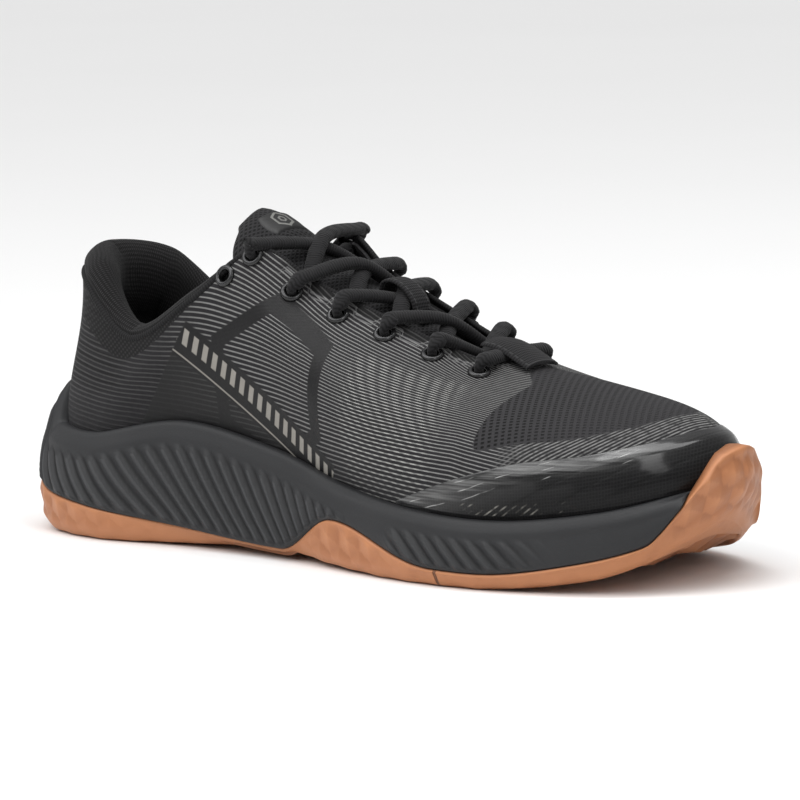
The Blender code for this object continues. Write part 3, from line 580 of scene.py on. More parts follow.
def overlay_look():
    """Glossy film over the toe: fine grid, dark streaks and short pale hatches, with a painted highlight and painted
    glints along its top edge.
    """
    look = Look("glossy_toe_film")
    x, y, z = look.coordinates()
    above, below_edge = look.field("above"), look.field("below_edge")
    wander = look.noise(18.0) - 0.5
    slanted = above - (x - 190.0) * 0.42 + wander * 3.0
    streaks = slanted.line(7.3, 0.16, 0.14) * above.rise(3.0, 8.0)
    fine = slanted.line(1.3, 0.35, 0.4) * 0.5
    grid = above.line(1.15, 0.3, 0.3).most((x + y * 0.5).line(1.15, 0.3, 0.3))
    # Painted glints: thin pale ticks below the top edge.
    painted_glints = (slanted + above * 0.25).line(4.1, 0.09, 0.07) * below_edge.rise(9.0, 6.0) * below_edge.rise(0.6, 1.4)
    painted_glints = painted_glints * look.noise(12.0).rise(0.5, 0.62) * x.rise(244.0, 226.0)
    hatch = (x - above * 1.6).line(3.4, 0.26, 0.12) * above.rise(1.6, 2.2) * above.rise(6.0, 5.0)
    hatch = hatch * x.rise(174.0, 180.0) * x.rise(216.0, 210.0) * look.noise(6.0).rise(0.42, 0.6)
    top = below_edge.rise(5.0, 0.0)
    sparkle = look.noise(1.2, 3.0)
    # Painted highlight: the band along the film's top edge is painted paler.
    colour = mixed((0.0035, 0.0033, 0.0035), (0.014, 0.0137, 0.0145), top * 0.8 + fine * 0.12)
    colour = mixed(colour, (0.001, 0.001, 0.001), streaks * 0.85)
    colour = mixed(colour, (0.03, 0.03, 0.031), grid * sparkle * 0.45)
    colour = mixed(colour, (0.3, 0.29, 0.26), hatch * 0.7)
    # Painted highlight: pale streaks along the top edge, in place of the overhead lamp's reflection.
    painted_highlight_streaks = below_edge.rise(9.0, 2.5) * look.noise(2.4, 3.0, (8.0, 8.0, 0.35)).rise(0.35, 0.7) * x.rise(246.0, 222.0)
    colour = mixed(colour, (0.17, 0.17, 0.168), painted_highlight_streaks * 0.65)
    # Painted glints mixed into the colour.
    colour = mixed(colour, (0.5, 0.5, 0.49), painted_glints * 0.8)
    roughness = 0.3 + sparkle * 0.1 + top * 0.08 + grid * 0.07 + streaks * 0.3
    coat = below_edge.rise(16.0, 3.0) * 0.65 + 0.08
    height = grid * 0.04 - streaks * 0.1 + (hatch + painted_glints) * 0.08
    return look.finish(colour, roughness, height, Coat_Weight=coat, Coat_Roughness=0.12, Specular_IOR_Level=0.12)


def foam_look():
    """Moulded foam, with a fine skin, a painted highlight on the crests of its ribs and painted shade in the grooves
    between them.
    """
    look = Look("moulded_foam")
    grain = look.noise(0.7, 4.0)
    patches = look.noise(22.0, 3.0)
    ridge = look.field("ridge")
    colour = mixed((0.0145, 0.015, 0.0165), (0.0215, 0.022, 0.0235), patches)
    # Painted highlight on the crests of the ribs.
    colour = mixed(colour, (0.058, 0.059, 0.062), ridge.rise(0.75, 1.0) * 0.6)
    # Painted shade in the grooves between the ribs.
    colour = mixed(colour, (0.007, 0.007, 0.0075), look.field("groove") * 0.85)
    colour = mixed(colour, (0.02, 0.02, 0.0215), grain.rise(0.55, 0.75) * 0.35)
    return look.finish(colour, 0.5 + grain * 0.16, grain * 0.07 + patches * 0.2, Specular_IOR_Level=0.35)


def gum_look():
    """Gum rubber: warm tan with faint mottling, paler on raised facets as a painted highlight, with painted shade on
    the sides of its pyramids and in its grooves.
    """
    look = Look("gum_rubber")
    x, y, z = look.coordinates()
    relief = look.field("relief")
    mottle = look.noise(9.0, 4.0)
    grain = look.noise(0.9, 3.0)
    groove = (x - FLEX_X).size().rise(0.75, 0.4)
    cross = ((x + y * 0.12 - 118.0).size().least((x + y * 0.12 - 205.0).size())).rise(1.6, 0.4)
    cross = cross * look.field("tread")
    top_edge = look.field("top_edge")
    # Painted highlight: raised facets are painted paler.
    colour = mixed((0.37, 0.142, 0.058), (0.5, 0.218, 0.098), relief)
    # Painted shade on the sides of the pyramids that face away from the light.
    colour = mixed(colour, (0.24, 0.085, 0.034), look.field("shaded") * 0.5)
    colour = mixed(colour, (0.32, 0.12, 0.048), mottle.rise(0.5, 0.75) * 0.4)
    # Painted shade in the cross grooves of the tread.
    colour = mixed(colour, (0.22, 0.08, 0.032), cross * 0.3)
    # Painted shade in the flex groove.
    colour = mixed(colour, (0.1, 0.035, 0.014), groove * 0.85)
    colour = mixed(colour, (0.2, 0.075, 0.03), top_edge * 0.7)
    height = grain * 0.06 + mottle * 0.15 - groove * 0.8 - cross * 0.3
    return look.finish(colour, 0.46 + grain * 0.12, height, Specular_IOR_Level=0.4)


def carbon_look():
    """Carbon plate under clear gloss: tows in a two by two twill, which runs at an angle to the shoe, with a painted
    reflection along the tows that lie on top.
    """
    look = Look("carbon_twill")
    x, y, z = look.coordinates()
    tow = 2.3
    a, b = (x * 0.8 + y * 0.6) / tow, (y * 0.8 - x * 0.6) / tow
    step = ((a.math("FLOOR") + b.math("FLOOR")) / 4.0).fraction()
    over = step.rise(0.45, 0.5)
    fibre_a, fibre_b = (b * 9.0).sine(), (a * 9.0).sine()
    rounding = over * (b.fraction() - 0.5).size() + (1.0 - over) * (a.fraction() - 0.5).size()
    # Painted reflection: the tows lying on top are painted pale along their middles.
    colour = mixed((0.006, 0.006, 0.007), (0.26, 0.26, 0.25), over * rounding.rise(0.5, 0.3) * 0.8)
    fibre = over * fibre_a + (1.0 - over) * fibre_b
    height = fibre * 0.03 - rounding * 0.25
    return look.finish(colour, 0.3, height, Coat_Weight=0.8, Coat_Roughness=0.08)


def rim_look():
    """Black rubber with a moulded grain."""
    look = Look("black_rubber_rim")
    grain = look.noise(0.8, 3.0)
    colour = mixed((0.006, 0.006, 0.006), (0.02, 0.02, 0.021), grain)
    return look.finish(colour, 0.42 + grain * 0.15, grain * 0.1)


def padding_look():
    """Spacer mesh: staggered fine dots over soft padding."""
    look = Look("spacer_mesh")
    a, b = look.field("along"), look.field("across")
    dots = ((a + b * 0.58).sine(1.9) * (a - b * 0.58).sine(1.9) + b.sine(1.65) * 0.35).rise(-0.1, 0.8)
    wear = look.noise(11.0, 3.0)
    colour = mixed((0.004, 0.0038, 0.004), (0.024, 0.023, 0.024), dots * 0.75)
    colour = mixed(colour, (0.01, 0.0095, 0.01), wear.rise(0.4, 0.7) * 0.4)
    return look.finish(colour, 0.88, dots * 0.3 + wear * 0.3, Sheen_Weight=0.05, Specular_IOR_Level=0.2)


def tongue_look():
    """Tongue mesh: a coarse diagonal lattice with dark holes, closer towards the toe."""
    look = Look("tongue_lattice")
    a, b = look.field("along"), look.field("across")
    one, two = (a + b * 0.8).line(2.0, 0.45, 0.3), (a - b * 0.8).line(2.0, 0.45, 0.3)
    ribs = one.most(two)
    fibres = look.noise(0.8, 3.0)
    colour = mixed((0.003, 0.003, 0.0032), (0.022, 0.0215, 0.023), ribs * (0.6 + fibres * 0.5))
    return look.finish(colour, 0.84, ribs * 0.3 + fibres * 0.1, Sheen_Weight=0.05, Specular_IOR_Level=0.2)


def cord_look():
    """Braided lace: strands that cross in a herringbone between its ribs."""
    look = Look("braided_lace")
    a, b = look.field("along"), look.field("around")
    fold = (b / (2 * math.pi) * 4.0).fraction()
    slant = (fold - 0.5).size() * 1.1
    strands = (a + slant).line(1.05, 0.55, 0.45)
    fuzz = look.noise(0.6, 3.0)
    colour = mixed((0.0035, 0.0034, 0.0037), (0.0155, 0.015, 0.0163), strands * (0.55 + fuzz * 0.6))
    height = strands * 0.08 + fuzz * 0.06
    return look.finish(colour, 0.84, height, Sheen_Weight=0.08, Specular_IOR_Level=0.2)


def webbing_look():
    """Woven tape: ribs across it and a line of stitches near each edge."""
    look = Look("woven_tape")
    a, b = look.field("along"), look.field("across")
    edge = look.field("edge")
    ribs = a.line(1.1, 0.55, 0.4)
    stitches = (edge - 1.5).size().rise(0.5, 0.2) * a.line(2.6, 0.62, 0.15)
    fuzz = look.noise(0.8, 3.0)
    colour = mixed((0.006, 0.0058, 0.0063), (0.02, 0.0195, 0.0208), ribs * (0.4 + fuzz * 0.7))
    colour = mixed(colour, (0.04, 0.0395, 0.041), stitches * 0.7)
    height = ribs * 0.12 + stitches * 0.25 + b.sine(0.9) * 0.04
    return look.finish(colour, 0.86, height, Sheen_Weight=0.05, Specular_IOR_Level=0.2)


def binding_look():
    """Narrow ribbed binding round the topline."""
    look = Look("ribbed_binding")
    ribs = look.field("along").line(1.2, 0.5, 0.45)
    fuzz = look.noise(0.7, 3.0)
    colour = mixed((0.003, 0.003, 0.0032), (0.012, 0.0115, 0.0125), ribs * (0.5 + fuzz * 0.6))
    return look.finish(colour, 0.78, ribs * 0.12 + fuzz * 0.05, Specular_IOR_Level=0.25)


def gloss_look(name="lacquered_eyelet", has_rest=True):
    """Black lacquer, a little paler and partly metallic on its raised edge."""
    look = Look(name, has_rest)
    scratches = look.noise(1.4, 4.0)
    pale_metal = look.field("pale_metal") if has_rest else scratches * 0.3
    colour = mixed((0.006, 0.006, 0.006), (0.07, 0.07, 0.072), pale_metal * (0.3 + scratches * 0.6))
    metal = pale_metal * 0.7
    return look.finish(colour, 0.16 + scratches * 0.14, scratches * 0.03, Metallic=metal)


def insole_look():
    """Brushed sock lining over foam."""
    look = Look("sock_lining")
    x, y, z = look.coordinates()
    weave = (x + y).sine(1.3) * (x - y).sine(1.3)
    wear = look.noise(25.0, 3.0)
    colour = mixed((0.006, 0.006, 0.0065), (0.018, 0.0175, 0.0185), weave * 0.35 + 0.4)
    colour = mixed(colour, (0.026, 0.0255, 0.026), wear.rise(0.5, 0.8) * 0.3)
    return look.finish(colour, 0.92, weave * 0.1 + wear * 0.2, Sheen_Weight=0.05, Specular_IOR_Level=0.15)


def badge_look():
    """Rubber badge: a plain hexagon outline on black."""
    look = Look("tongue_badge_rubber")
    a, b = look.field("along"), look.field("across")
    slanted = b.size() * 0.5 + a.size() * 0.866
    away = b.size().most(slanted)
    outline = (away - 3.7).size().rise(0.65, 0.4).most((away - 1.3).size().rise(0.5, 0.3))
    grain = look.noise(0.8, 3.0)
    colour = mixed((0.005, 0.005, 0.0053), (0.17, 0.17, 0.16), outline * (0.75 + grain * 0.3))
    return look.finish(colour, 0.55, outline * 0.25 + grain * 0.04)


def fibre_look(name, dark, pale, size, has_rest=True):
    """Pressed fibre board or moulded sheet for the pieces inside the shoe."""
    look = Look(name, has_rest)
    fibres = look.noise(size, 5.0, (3.0, 0.7, 1.0))
    return look.finish(mixed(dark, pale, fibres), 0.75 + fibres * 0.15, fibres * 0.2)


BEND = ("shoe_rear", "forefoot", (0.156, 0.0, 0.05), (0.210, 0.0, 0.05))
TONGUE_BEND = ("shoe_rear", "tongue_flap", (0.074, 0.0, 0.103), (0.052, 0.0, 0.114))

SKIN_STATIONS, SKIN_ROWS, LINING_ROWS = 640, 110, 16
RIM_RADIUS = SHELL / 2
HOLE_RADIUS = 3.0  # opening in the fabric, under an eyelet's flange
# Upper edge of the toe film: stations from the toe and share of the way from the lip to the throat.
FILM_EDGE = [(0, 0.275), (0.5, 0.285), (1.5, 0.28), (2.05, 0.27), (2.57, 0.255), (3.07, 0.205), (3.63, 0.125), (4.4, 0.0)]
FILM_THICKNESS = 0.5


def film_edge(t):
    """Share of the height that the toe film reaches at a station, and 0 where there is none."""
    curve = curve_through(FILM_EDGE, 8)
    away = np.abs(np.asarray(t, float) % STATIONS - STATIONS / 2)
    return np.maximum(np.interp(away, curve[:, 0], curve[:, 1]), 0)


def smooth_least(a, b, width):
    """The smaller of two values, with a rounded change between them."""
    return -width * np.logaddexp(-a / width, -b / width)


def skin_fields(t, outer):
    """Values at the points of the upper's outer side, from which its material draws the pattern."""
    x, y, z = np.moveaxis(outer, -1, 0)
    arc = distances(outer)
    # Ahead of the ball of the foot the stripes run flatter than the film's edge, and end on it.
    stripe = outer[:, :1, 2] + arc + 0.08 * outer[:, :1, 0] + 0.16 * np.maximum(x - 172, 0)
    above_film = arc - film_edge(t) * arc[:, -1:]
    band = 5.5 - 3.0 * smooth_step((x - 185) / 50)
    front = 178.5 - 8 * smooth_step((16 - np.abs(y)) / 12)
    mesh_zone = smooth_least(above_film - band, x - front, 2.2)
    fade = smooth_step((x + 0.35 * (z - 70) - 22) / 42)
    low = smooth_step((arc - 1) / 16)
    turned = (y * 0.866 - x * 0.5) - 0.7 * (z - 66) * np.clip(y / 20, -1, 1)
    phase = (EYELET_PLACES[0][0] - x) / 19.0
    step = smooth_step((np.abs((phase % 1.0) - 0.5) - 0.2) / 0.06)
    from_edge = arc[:, -1:] - arc
    hatched = smooth_step((band + 0.9 - above_film) / 0.9) * smooth_step((x - 186) / 14) * smooth_step((251 - x) / 12)
    cuff = 12.5 * near(t, 0, 3.7, 3.0) - from_edge
    dashed = smooth_step((x - 116) / 8) * smooth_step((168 - x) / 12) * smooth_step((from_edge - 18) / 6)
    return {
        "stripe": stripe,
        "bright": (0.2 + 0.8 * fade) * (0.4 + 0.6 * low) * (1 - 0.7 * smooth_step((x - 196) / 30)),
        "mesh_zone": mesh_zone,
        "mesh_a": x * 0.866 + y * 0.5,
        "mesh_b": turned,
        # Strength of the painted shade in the mesh's holes, less towards the toe's front and the top.
        "hole_depth": 0.35 + 0.65 * smooth_step((222 - x) / 36) * smooth_step((70 - z) / 10),
        "dashed": dashed,
        "trim": from_edge - 2.6 - 2.6 * (1 - step),
        "trimmed": smooth_step((x - 74) / 6) * smooth_step((166 - x) / 5),
        "heel": smooth_step((14 - x) / 12) * smooth_step((z - 50) / 6),
        "cuff": cuff,
        "above_film": above_film,
        "hatched": hatched,
        "inner": np.zeros_like(x),
    }


def build_skin(spots):
    """The upper's fabric: one shell from the midsole's lip to the topline and the throat, and back inside."""
    t = dense_stations(SKIN_STATIONS)[:, None]
    outer = upper(t, np.linspace(0, 1, SKIN_ROWS)[None])
    top, facing = outer[:, -1], upper_normal(t[:, 0], 1.0)
    rising = unit(outer[:, -1] - outer[:, -4])
    turns = np.radians([25, 60, 90, 120, 155])[:, None]
    rim = [top + facing * RIM_RADIUS * (np.cos(a) - 1) + rising * RIM_RADIUS * np.sin(a) for a in turns[:, 0]]
    inner = layer(t, np.linspace(1, 0, LINING_ROWS)[None], SHELL)
    hem = [outer[:, 0] - [0, 0, drop] for drop in (3.0, 1.5)]
    inner_hem = inner[:, -1] - [0, 0, 3.0]
    rows = [np.stack(hem, axis=1), outer, np.stack(rim, axis=1), inner, inner_hem[:, None]]
    points = np.concatenate(rows, axis=1)
    before, after = 2, points.shape[1] - SKIN_ROWS - 2
    fields = {}
    for name, values in skin_fields(t, outer).items():
        fields[name] = np.pad(values, ((0, 0), (before, after)), mode="edge")
    fields["inner"][:, -LINING_ROWS - 4:] = 1
    faces = grid_faces(*points.shape[:2], across=True, along=True)
    centres = points.reshape(-1, 3)[faces].mean(axis=1)
    keep = np.ones(len(faces), bool)
    for side in spots.values():
        for spot in side:
            keep &= ~spot.reaches(centres, HOLE_RADIUS, 6.0)
    replaced = ("quarters", "vamp")
    new_piece("upper_skin", points, faces[keep], upper_look(), BEND, replaced, fields)


def build_film():
    """Glossy film over the toe, a little proud of the fabric, with shallow slanted folds."""
    t = np.linspace(5.6, 14.4, 420)[:, None]
    shares = np.concatenate([np.linspace(0, 0.93, 44), [0.95, 0.965, 0.978, 0.988, 0.995, 1.0]])[None]
    v = shares * film_edge(t)
    flat = upper(t, v)
    above = distances(flat)
    below_edge = above[:, -1:] - above
    x = flat[..., 0]
    ends = smooth_step((4.4 - np.abs(t - 10)) / 0.25)
    edge = np.sqrt(np.clip(1 - (1 - below_edge / 0.7) ** 2, 0, 1)) * (below_edge < 0.7) + (below_edge >= 0.7)
    slant = above - 0.42 * (x - 190)
    folds = 0.05 * np.sin(slant * 2 * math.pi / 7.3) * smooth_step(below_edge / 4) * smooth_step(above / 5)
    swell = 0.9 * smooth_step(above / 6) * smooth_step(below_edge / 6) * smooth_step((x - 170) / 30)
    rise = (FILM_THICKNESS * edge + folds + swell) * ends - 0.12
    points = layer(t, v, -rise)
    hem = points[:, :1] - [0, 0, 2.5]
    points = np.concatenate([hem, points], axis=1)
    fields = {"above": above, "below_edge": below_edge}
    fields = {name: np.pad(values, ((0, 0), (1, 0)), mode="edge") for name, values in fields.items()}
    faces = grid_faces(*points.shape[:2])
    new_piece("toe_film", points, faces, overlay_look(), BEND, ("toe_cap",), fields)


def from_heel(t):
    """Distance round the widest outline from the back of the heel, along either side."""
    dense = np.linspace(0, STATIONS, 801)
    outline = at(OUTLINE, dense)
    run = np.concatenate([[0], np.cumsum(np.linalg.norm(np.diff(outline, axis=0), axis=1))])
    around = np.interp(np.asarray(t) % STATIONS, dense, run)
    toe = run[len(run) // 2]
    return np.where(np.asarray(t) % STATIONS > STATIONS / 2, run[-1] - around, around), toe


HEEL_LIFT, HEEL_START, HEEL_LENGTH, HEEL_HIGH = 7.0, -22.0, 27.0, 38.0
TOE_LIFT, TOE_START, TOE_LENGTH, TOE_LOW, TOE_HIGH = 7.0, 222.0, 35.0, 17.0, 44.0
TOE_TUCK, TUCK_FROM, TUCK_LENGTH = 4.0, 236.0, 18.0


def round_sole(points):
    """Rounds the sole in place: its lower edge is lifted at the heel and at the toe, and set back at the toe."""
    x, z = points[..., 0].copy(), points[..., 2].copy()
    at_heel = np.clip(1 - z / HEEL_HIGH, 0, 1) * np.clip((HEEL_START - x) / HEEL_LENGTH, 0, 1) ** 2
    low = np.clip((TOE_HIGH - z) / (TOE_HIGH - TOE_LOW), 0, 1)
    at_toe = low * np.clip((x - TOE_START) / TOE_LENGTH, 0, 1) ** 2
    points[..., 2] += HEEL_LIFT * at_heel + TOE_LIFT * at_toe
    points[..., 0] -= TOE_TUCK * smooth_step((x - TUCK_FROM) / TUCK_LENGTH) * low**2


RIB_PITCH, RIB_HEIGHT, LIP_BAND = 6.6, 1.5, 7.0


def build_midsole():
    """Foam midsole with a smooth band under its lip and slanted ribs below it."""
    t = dense_stations(1100)
    lip, top, rim = midsole_top(t), gum_top(t), rim_inset(t)
    proud = np.clip((lip - top - 1.5) / 4, 0, 1)
    inside_gum = gum_lean(t) + 2.4
    wall = inside_gum * (1 - proud) + 0.2 * proud
    low = np.minimum(top + 0.3, lip - 1.5) + at(ARCH_LIFT, t)
    controls = [
        level(t, wall + 0.5, low),
        level(t, wall, low + 1.0),
        level(t, wall + 0.1 * (rim - wall), low + 0.35 * (lip - low)),
        level(t, wall + 0.5 * (rim - wall), low + 0.75 * (lip - low)),
        level(t, rim, lip - 0.6),
    ]
    outer = np.swapaxes(curve_through(controls, 11), 0, 1)
    around = from_heel(t)[0][:, None]
    below = lip[:, None] - outer[..., 2]
    x = outer[..., 0]
    lean = 0.12 + 0.5 * smooth_step(around / 75) + 0.35 * smooth_step((x - 130) / 30)
    phase = (around - lean * below - 0.006 * below**2) / RIB_PITCH
    wave = phase % 1.0
    rib = smooth_step(wave / 0.72) * smooth_step((1 - wave) / 0.28)
    band = LIP_BAND - 1.5 * smooth_step((x - 120) / 40)
    reach = smooth_step((below - band) / 3) * smooth_step((outer[..., 2] - low[:, None] - 0.3) / 1.6)
    rear = smooth_step((128 - x) / 14)
    front = smooth_step((x - 142) / 8) * smooth_step((216 - x) / 24)
    cover = reach * np.maximum(rear, 0.9 * front)
    push = RIB_HEIGHT * (rib - 0.35) * cover
    push = push + 0.35 * smooth_step(below / 1.5) * smooth_step((band + 1 - below) / 3)
    outward = -np.concatenate([inward(t), np.zeros((len(t), 1))], axis=1)[:, None]
    outer = outer + outward * push[..., None]
    inner_edge = rim + at(RIM, t) + clip_room(t) + 0.5
    tuck = np.stack([level(t, inside_gum + 0.3, low - 1.5), level(t, wall + 1.2, low - 0.5)], axis=1)
    rounded = [(0.08, -0.25), (0.25, 0.05), (0.6, 0.15), (1.0, 0.0)]
    lip_rows = np.stack([level(t, rim + share * (inner_edge - rim), lip + rise) for share, rise in rounded], axis=1)
    inside = np.stack([level(t, inner_edge + 0.4, lip - 4), level(t, at(BED_INSET, t), at(BED_TOP, t))], axis=1)
    points = np.concatenate([tuck, outer, lip_rows, inside], axis=1)
    round_sole(points)
    # Masks for the painted highlight on the ribs' crests and the painted shade in the grooves between them.
    ridge = np.pad(rib * cover, ((0, 0), (2, 6)))
    groove = np.pad(smooth_step((0.3 - rib) / 0.3) * cover, ((0, 0), (2, 6)))
    fields = {"ridge": ridge, "groove": groove}
    replaced = ("midsole_rear", "midsole_front")
    faces = grid_faces(*points.shape[:2], along=True)
    new_piece("midsole_foam", points, faces, foam_look(), BEND, replaced, fields)


CELL_PITCH = 15.4  # hexagons of the tread and of the window, across their flats
CELL_ROWS = CELL_PITCH * math.sqrt(3) / 2
WINDOW_MIDDLE, LATERAL_ROW = 85.0, -7.8
MEDIAL_ROW = LATERAL_ROW + CELL_ROWS
TREAD_RELIEF, TREAD_INSET = 2.2, 5.2
BUMPER_HUG = 2.8  # how far the bumper's top leans towards the toe
WALL_SCALE, WALL_RELIEF = 1.35, 1.3  # smaller and lower pyramids on the side walls


SHADE_TURN = math.radians(40)  # direction of the side of each pyramid that gets the darkest painted shade


def window_cells():
    """Centres of the window's hexagons."""
    lateral = [(WINDOW_MIDDLE + CELL_PITCH * k, LATERAL_ROW) for k in (-1, 0, 1)]
    medial = [(WINDOW_MIDDLE + CELL_PITCH * k, MEDIAL_ROW) for k in (-1.5, -0.5, 0.5, 1.5)]
    return lateral + medial


def from_cell(dx, dy):
    """Distance from a hexagon's centre, measured across its flats."""
    return np.maximum(np.abs(dx), 0.5 * np.abs(dx) + 0.866 * np.abs(dy))


def in_window(x, y):
    """How far a point lies inside the window's hexagons, as the distance to their flats."""
    return np.max([CELL_PITCH / 2 - from_cell(x - a, y - b) for a, b in window_cells()], axis=0)


def pyramids(x, y):
    """Height of the tread's hexagonal pyramids, 1 at their tips and 0 on their borders, and the painted shade of their
    sides, darkest on the side at SHADE_TURN.
    """
    nearest, shaded = np.full(x.shape, CELL_PITCH), np.zeros(x.shape)
    row = np.round((y - LATERAL_ROW) / CELL_ROWS)
    for k in (-1, 0, 1):
        b = LATERAL_ROW + (row + k) * CELL_ROWS
        shift = WINDOW_MIDDLE + CELL_PITCH / 2 * ((row + k) % 2)
        a = shift + np.round((x - shift) / CELL_PITCH) * CELL_PITCH
        away = from_cell(x - a, y - b)
        sector = np.round(np.arctan2(y - b, x - a) / (math.pi / 3)) * math.pi / 3
        shaded = np.where(away < nearest, 0.5 + 0.5 * np.cos(sector - SHADE_TURN), shaded)
        nearest = np.minimum(nearest, away)
    return 1 - nearest / (CELL_PITCH / 2), shaded


def ladder(edge, columns):
    """A grid of rows across the shoe, between facing points of a ring."""
    half = len(edge) // 2
    near_side, far_side = edge[: half + 1], edge[-np.arange(half + 1)]
    share = np.linspace(0, 1, columns)[None, :, None]
    return near_side[:, None] * (1 - share) + far_side[:, None] * share


def build_outsole():
    """Gum outsole: a tread of hexagonal pyramids inside a smooth border, and faceted side walls."""
    t = dense_stations(900)
    ground, gum, rounding, top = ground_height(t), at(GUM_INSET, t), at(EDGE_ROUNDING, t), gum_top(t)
    middle = np.minimum(ground + 5 * rounding, top - 1.4)
    around = from_heel(t)[0]
    ripple = 0.35 * np.sin(around * 2 * math.pi / CELL_PITCH)
    controls = [
        level(t, gum + TREAD_INSET + 2 * (rounding - 1), ground),
        level(t, gum + 2.4 * rounding, np.minimum(ground + 1.2 * rounding, middle - 0.6) + ripple * 0.6),
        level(t, gum + 0.4 + 1.6 * (rounding - 1), middle),
        level(t, gum, np.maximum(middle + 0.5, top - 1)),
    ]
    wall = np.swapaxes(curve_through(controls, 11), 0, 1)
    height = wall[..., 2] - ground[:, None]
    share = smooth_step((height - 1.5) / 5) * smooth_step((top[:, None] - wall[..., 2]) / 3)
    tall = smooth_step((top - ground - 6) / 10)[:, None]
    peak, shaded = pyramids(around[:, None] * WALL_SCALE, height * WALL_SCALE + 3.0)
    push = WALL_RELIEF * (np.clip(peak, 0, 1) - 0.4) * share * (0.25 + 0.75 * tall)
    wall_shade = np.pad(shaded * share * tall, ((0, 0), (0, 5)))
    outward = -np.concatenate([inward(t), np.zeros((len(t), 1))], axis=1)[:, None]
    wall = wall + outward * push[..., None]
    lean = gum_lean(t)
    thick = 1.6 + 1.8 * near(t, 10, BUMPER_REACH, BUMPER_SLOPE)
    edge_rows = [(gum + 0.3 * (lean - gum), top - 0.35), (lean, top), (lean + 0.5, top + 0.12)]
    edge_rows += [(lean + thick, top), (lean + thick + 0.4, top - 3.0)]
    rim = np.stack([level(t, inset, z) for inset, z in edge_rows], axis=1)
    sides = np.concatenate([wall, rim], axis=1)
    sides -= outward * (BUMPER_HUG * smooth_step((sides[..., 2] - 32) / 14))[..., None]
    round_sole(sides)

    tread = ladder(sides[:, 0], 110)
    x, y = tread[..., 0], tread[..., 1]
    ring = sides[:, 0, :2]
    flat_points = tread[..., :2].reshape(-1, 1, 2)
    nearest = np.concatenate([
        np.linalg.norm(rows - ring[None], axis=-1).min(axis=1)
        for rows in np.array_split(flat_points, 60)
    ]).reshape(x.shape)
    waist = smooth_step((50 - np.abs(x - 72)) / 18)
    border = smooth_step((nearest - 0.3 - 4.5 * waist - 5 * smooth_step((x - 232) / 12)) / 1.6)
    clear = smooth_step((-in_window(x, y) - 1.6) / 1.5)
    peak, shaded = pyramids(x, y)
    peak = np.clip(peak, 0, 1)
    sunk = TREAD_RELIEF * (1 - peak) * border * clear + 0.5 * (1 - clear)
    arch = smooth_step((30 - np.abs(x - 85)) / 10) * (y > 0) * (1 - border) * smooth_step(nearest / 0.8)
    sunk = sunk + arch * 0.35 * (1 - np.cos(nearest * 2 * math.pi / 1.8))
    tread[..., 2] += sunk
    # Painted highlight: the pyramids' tips are painted paler.
    relief = np.where(border * clear > 0.5, peak, 0.45)
    faces = grid_faces(*tread.shape[:2])
    centres = tread.reshape(-1, 3)[faces].mean(axis=1)
    faces = faces[in_window(centres[:, 0], centres[:, 1]) < -0.2]

    start = tread.shape[0] * tread.shape[1]
    points = np.concatenate([tread.reshape(-1, 3), sides.reshape(-1, 3)])
    side_faces = grid_faces(*sides.shape[:2], along=True) + start
    # Painted highlight on the raised facets of the side walls.
    side_relief = np.pad(0.5 + 0.6 * push, ((0, 0), (0, len(edge_rows))), constant_values=0.6)
    top_edge = np.zeros(sides.shape[:2])
    top_edge[:, -4:] = 1
    fields = {
        "relief": np.concatenate([relief.ravel(), side_relief.ravel()]),
        "tread": np.concatenate([(border * clear).ravel(), np.zeros(side_relief.size)]),
        "top_edge": np.concatenate([np.zeros(start), top_edge.ravel()]),
        "shaded": np.concatenate([(shaded * border * clear).ravel(), wall_shade.ravel()]),
    }
    faces = np.concatenate([faces, side_faces])
    replaced = ("outsole_rear", "outsole_front")
    new_piece("gum_outsole", points, faces, gum_look(), BEND, replaced, fields)


def waist_height(x):
    """Height of the gum's underside along the middle of the waist."""
    t = np.linspace(2, 7, 21)
    return np.interp(x, at(OUTLINE, t)[:, 0], ground_height(t))


def window_outline():
    """Corners of the window's outline, in order."""
    radius = CELL_PITCH / math.sqrt(3)
    sides = {}
    for a, b in window_cells():
        corners = [(a + radius * math.sin(k * math.pi / 3), b + radius * math.cos(k * math.pi / 3)) for k in range(6)]
        for first, second in zip(corners, corners[1:] + corners[:1]):
            middle = (round(first[0] + second[0], 1), round(first[1] + second[1], 1))
            sides.setdefault(middle, []).append((first, second))
    free = [pairs[0] for pairs in sides.values() if len(pairs) == 1]
    loop = [free[0]]
    while len(loop) < len(free):
        loop.append(min(free, key=lambda side: math.dist(side[0], loop[-1][1])))
    return np.array([first for first, _ in loop])


